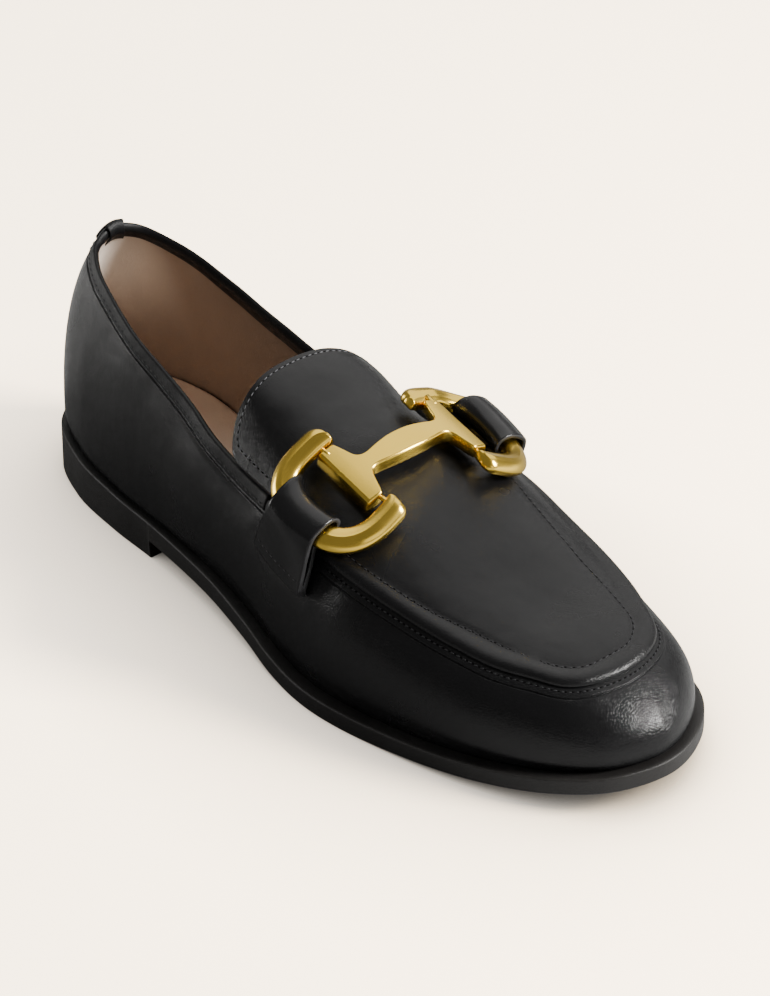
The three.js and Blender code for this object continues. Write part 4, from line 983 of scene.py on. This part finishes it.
def stitch_row(name, path, normal, pitch, length, wide, high, sink=0.08, material=THREAD,
               phase=0.5):
    """Stitches along a path: one small rounded bead of thread, its length along the path,
    repeated at an even pitch and turned a few degrees, as with real lockstitch. Between two
    stitches the same bead, low and dark, is painted shade in the needle's hole."""
    far = np.concatenate([[0], np.cumsum(np.linalg.norm(np.diff(path, axis=0), axis=1))])
    count = max(int(far[-1] / pitch), 2)
    at = (np.arange(count) + phase) * far[-1] / count

    def read(places, values):
        return np.stack([np.interp(places, far, values[:, k]) for k in range(3)], -1)
    centre, up = read(at, path), unit(read(at, normal))
    ahead = read(at + 0.2, path) - read(at - 0.2, path)
    ahead = unit(ahead - (ahead * up).sum(-1, keepdims=True) * up)
    across = np.cross(up, ahead)
    c, s = math.cos(math.radians(7)), math.sin(math.radians(7))
    ahead, across = ahead * c + across * s, across * c - ahead * s
    around, loops = 6, 5
    turn = np.linspace(0, 2 * math.pi, around, endpoint=False)
    thick = np.array([0.15, 0.8, 1.0, 0.8, 0.15])[:, None]
    local = np.stack([np.repeat(np.array([-0.5, -0.36, 0, 0.36, 0.5]) * length, around),
                      (thick * np.cos(turn) * wide / 2).ravel(),
                      (thick * np.sin(turn) * high).ravel() - sink], -1)
    axes = np.stack([ahead, across, up], 1)
    points = centre[:, None] + local[None] @ axes
    starts = (np.arange(count) * loops * around)[:, None]
    one = np.array(grid_faces(loops, around, False, True))
    faces = (one[None] + starts[:, None]).reshape(-1, 4).tolist()
    faces += (starts + np.arange(around)[::-1]).tolist()
    faces += (starts + (loops - 1) * around + np.arange(around)).tolist()
    add_mesh(name, points, faces, material)


def surface_path(t, side, angle, lift):
    """Points of a line on the last and the outward normals there."""
    point = last(t, side, angle, lift)
    return point, unit(last(t, side, angle, lift + 0.5) - point)


def tongue_path(inset):
    """The tongue's free end in plan, moved in by inset."""
    places = np.concatenate([TONGUE_END + 0.03 * np.linspace(0, 1, 40) ** 2,
                             np.linspace(TONGUE_END + 0.03, 0.53, 30)[1:]])
    t = station(places)
    lateral, medial = (last(t, side, apron_edge(t, np.full_like(t, side)), APRON_FACE)
                       for side in (-1.0, 1.0))
    path = np.concatenate([lateral[::-1], medial[1:]])[:, :2]
    ahead = np.zeros_like(path)
    ahead[1:-1] = path[2:] - path[:-2]
    ahead[0], ahead[-1] = ahead[1], ahead[-2]
    ahead = unit(ahead)
    return path + np.stack([ahead[:, 1], -ahead[:, 0]], -1) * inset


def drop_on(thing, plan):
    """Heights and normals where vertical lines through plan points meet a piece."""
    corners = np.zeros(len(thing.data.vertices) * 3)
    thing.data.vertices.foreach_get("co", corners)
    tree = BVHTree.FromPolygons([Vector(p) for p in corners.reshape(-1, 3)],
                                [list(f.vertices) for f in thing.data.polygons])
    down = Vector((0, 0, -1))
    hits = [tree.ray_cast(Vector((*to_row([x, y, 0])[:2], 0.2)), down) for x, y in plan]
    kept = [(*h[0], *h[1]) for h in hits if h[0] is not None]
    point, normal = np.split(np.array(kept), 2, axis=1)
    return point * 1000 + CENTRE, normal


def make_stitches(apron):
    """All rows of stitching: apron, foot of the raised seam, tongue, binding and straps."""
    t, side = round_toe(np.linspace(0.635, 1, 400))
    angle = stitch_of(side, along_of(t))
    line = surface_path(t, side, angle, apron_lift(t, side, angle))
    stitch_row("apron_stitches", *line, 2.3, 1.6, 0.5, 0.26)
    # Painted shade: a low dark bead in each needle hole between the stitches.
    stitch_row("apron_needle_hole_shadows", *line, 2.3, 0.95, 0.7, 0.1, 0.02, NEEDLE_HOLE_SHADE, 0.0)
    band = band_angle(t, side)
    line = surface_path(t, side, band - 3.7 * degrees_for(t, side, band), 0.34)
    stitch_row("seam_foot_stitches", *line, 1.9, 1.2, 0.5, 0.26)
    stitch_row("seam_foot_needle_hole_shadows", *line, 1.9, 0.8, 0.62, 0.1, 0.03, NEEDLE_HOLE_SHADE, 0.0)
    line = drop_on(apron, tongue_path(1.7))
    stitch_row("tongue_stitches", *line, 2.1, 1.45, 0.42, 0.26, material=HIGHLIT_TONGUE_THREAD)
    stitch_row("tongue_needle_hole_shadows", *line, 2.1, 0.85, 0.65, 0.1, 0.02, NEEDLE_HOLE_SHADE, 0.0)
    t, side = round_heel(np.linspace(0, TOPLINE_END - 0.01, 200))
    base = topline_angle(t, side)
    line = surface_path(t, side, base - 2.6 * degrees_for(t, side, base), 0.38)
    stitch_row("binding_stitches", *line, 2.3, 1.6, 0.45, 0.25)
    for way, name in SIDE_NAME.items():
        strap = spline(strap_sections(way, np.linspace(0.05, 0.95, 40))[0], 90, False)
        row = strap[5]
        normal = unit(np.cross(np.gradient(row, axis=0), strap[7] - strap[3]))
        outward = (normal * (row - [BIT_AT, 0, 10])).sum(-1, keepdims=True)
        normal *= np.where(outward < 0, -1, 1)
        stitch_row("strap_" + name + "_stitches", row, normal, 2.2, 1.6, 0.5, 0.28)


make_upper()
make_lining()
apron = make_apron()
make_binding()
make_tab()
make_insole()
make_sole()
make_bit()
for which in (-1, 1):
    make_ring(which)
make_pins()
for which in (-1, 1):
    make_strap(which)
make_stitches(apron)

FLOOR_WHITE, FLOOR_GLOW = (2.45, 1.9, 1.24, 1), (1.9, 1.78, 1.62, 1)
WARM_WHITE = (1, 0.985, 0.96)


def make_stage():
    """Pale floor, a large flat sheet under the shoe. As in a studio picture its white is lifted
    for the camera alone, and darker where the shoe shuts out the sky, while the leather mirrors
    it as a dim floor that is brightest ahead of the toe."""
    material, tree, shader = principled("studio_floor")
    tree.nodes.remove(shader)
    seen = put(tree, "ShaderNodeLightPath", {}, "Is Camera Ray")
    along = put(tree, "ShaderNodeSeparateXYZ", {0: position(tree)}, "X")
    dim = maths(tree, "ADD", remap(tree, along, 0.05, 0.16, 0.24, 0.62, "SMOOTHSTEP"),
                remap(tree, along, -0.12, -0.32, 0.0, 0.34, "SMOOTHSTEP"))
    mirrored = put(tree, "ShaderNodeCombineColor", {0: dim, 1: dim, 2: dim})
    sky = put(tree, "ShaderNodeAmbientOcclusion", {"Distance": 0.07}, "AO", samples=16)
    shade = maths(tree, "POWER", sky, 1.5)
    colour = blend(tree, seen, mirrored, blend(tree, shade, (0, 0, 0, 1), FLOOR_WHITE))
    matt = put(tree, "ShaderNodeBsdfDiffuse", {"Color": colour})
    glow = put(tree, "ShaderNodeEmission",
               {"Color": FLOOR_GLOW, "Strength": maths(tree, "MULTIPLY", shade, seen)})
    total = put(tree, "ShaderNodeAddShader", {0: matt, 1: glow})
    tree.links.new(total, tree.nodes["Material Output"].inputs["Surface"])
    mesh = bpy.data.meshes.new("studio_floor")
    mesh.from_pydata([(-12, -12, 0), (12, -12, 0), (12, 12, 0), (-12, 12, 0)], [], [(0, 1, 2, 3)])
    mesh.materials.append(material)
    floor = bpy.data.objects.new("studio_floor", mesh)
    bpy.context.scene.collection.objects.link(floor)


def softbox(name, place, aim, size, power):
    """A rectangular studio light at place, turned to aim, metres and watts."""
    lamp = bpy.data.lights.new(name, "AREA")
    lamp.shape, lamp.size, lamp.size_y = "RECTANGLE", size[0], size[1]
    lamp.energy, lamp.color = power, WARM_WHITE
    thing = bpy.data.objects.new(name, lamp)
    thing.location = place
    thing.rotation_euler = (Vector(aim) - Vector(place)).to_track_quat("-Z", "Y").to_euler()
    bpy.context.scene.collection.objects.link(thing)


def make_lights():
    """A faint world and four softboxes: over the shoe, off the toe, ahead and behind."""
    world = bpy.data.worlds.new("studio")
    world.use_nodes = True
    sky = world.node_tree.nodes["Background"].inputs
    sky["Color"].default_value, sky["Strength"].default_value = (*WARM_WHITE, 1), 0.2
    bpy.context.scene.world = world
    softbox("overhead_softbox", (-0.45, 0.75, 1.15), (0, 0, 0), (2.0, 2.0), 17.5)
    softbox("key_softbox", (0.93, 0.66, 0.7), (0.126, 0, 0.024), (0.42, 0.42), 46)
    softbox("front_softbox", (1.3, -0.4, 0.42), (0.05, -0.02, 0.05), (0.8, 0.5), 1.4)
    softbox("heel_softbox", (-1.1, -0.65, 0.28), (-0.09, -0.02, 0.05), (0.5, 0.4), 6)


IMAGE_WIDE, IMAGE_HIGH = 770, 996
PHOTO_ROLL, PHOTO_LENS, SENSOR = -0.0162, 1898.1, 36
PHOTO_PLACE, PHOTO_AIM = [684.8, -418.6, 483.5], (-0.65421, 0.59049, -0.47258)
SHOE_AT, ZOOM = (277, 662), 1.5


def make_camera():
    """The photograph's camera: its place and roll as worked out from the pair of shoes, its
    lens in pixels, then turned and zoomed on the spot to take in the one shoe."""
    lens = bpy.data.cameras.new("camera")
    thing = bpy.data.objects.new("camera", lens)
    bpy.context.scene.collection.objects.link(thing)
    turn = Vector(PHOTO_AIM).normalized().to_track_quat("-Z", "Y").to_matrix()
    turn = turn @ Matrix.Rotation(PHOTO_ROLL, 3, "Z")
    aside, high = SHOE_AT[0] - IMAGE_WIDE / 2, IMAGE_HIGH / 2 - SHOE_AT[1]
    aim = Vector((aside / PHOTO_LENS, high / PHOTO_LENS, -1))
    turn = turn @ Vector((0, 0, -1)).rotation_difference(aim).to_matrix()
    thing.matrix_world = Matrix.Translation(Vector(to_row(PHOTO_PLACE))) @ turn.to_4x4()
    lens.sensor_fit, lens.sensor_width = "AUTO", SENSOR
    lens.lens = PHOTO_LENS / IMAGE_HIGH * SENSOR * ZOOM
    lens.clip_start, lens.clip_end = 0.01, 50
    bpy.context.scene.camera = thing


make_stage()
make_lights()
make_camera()
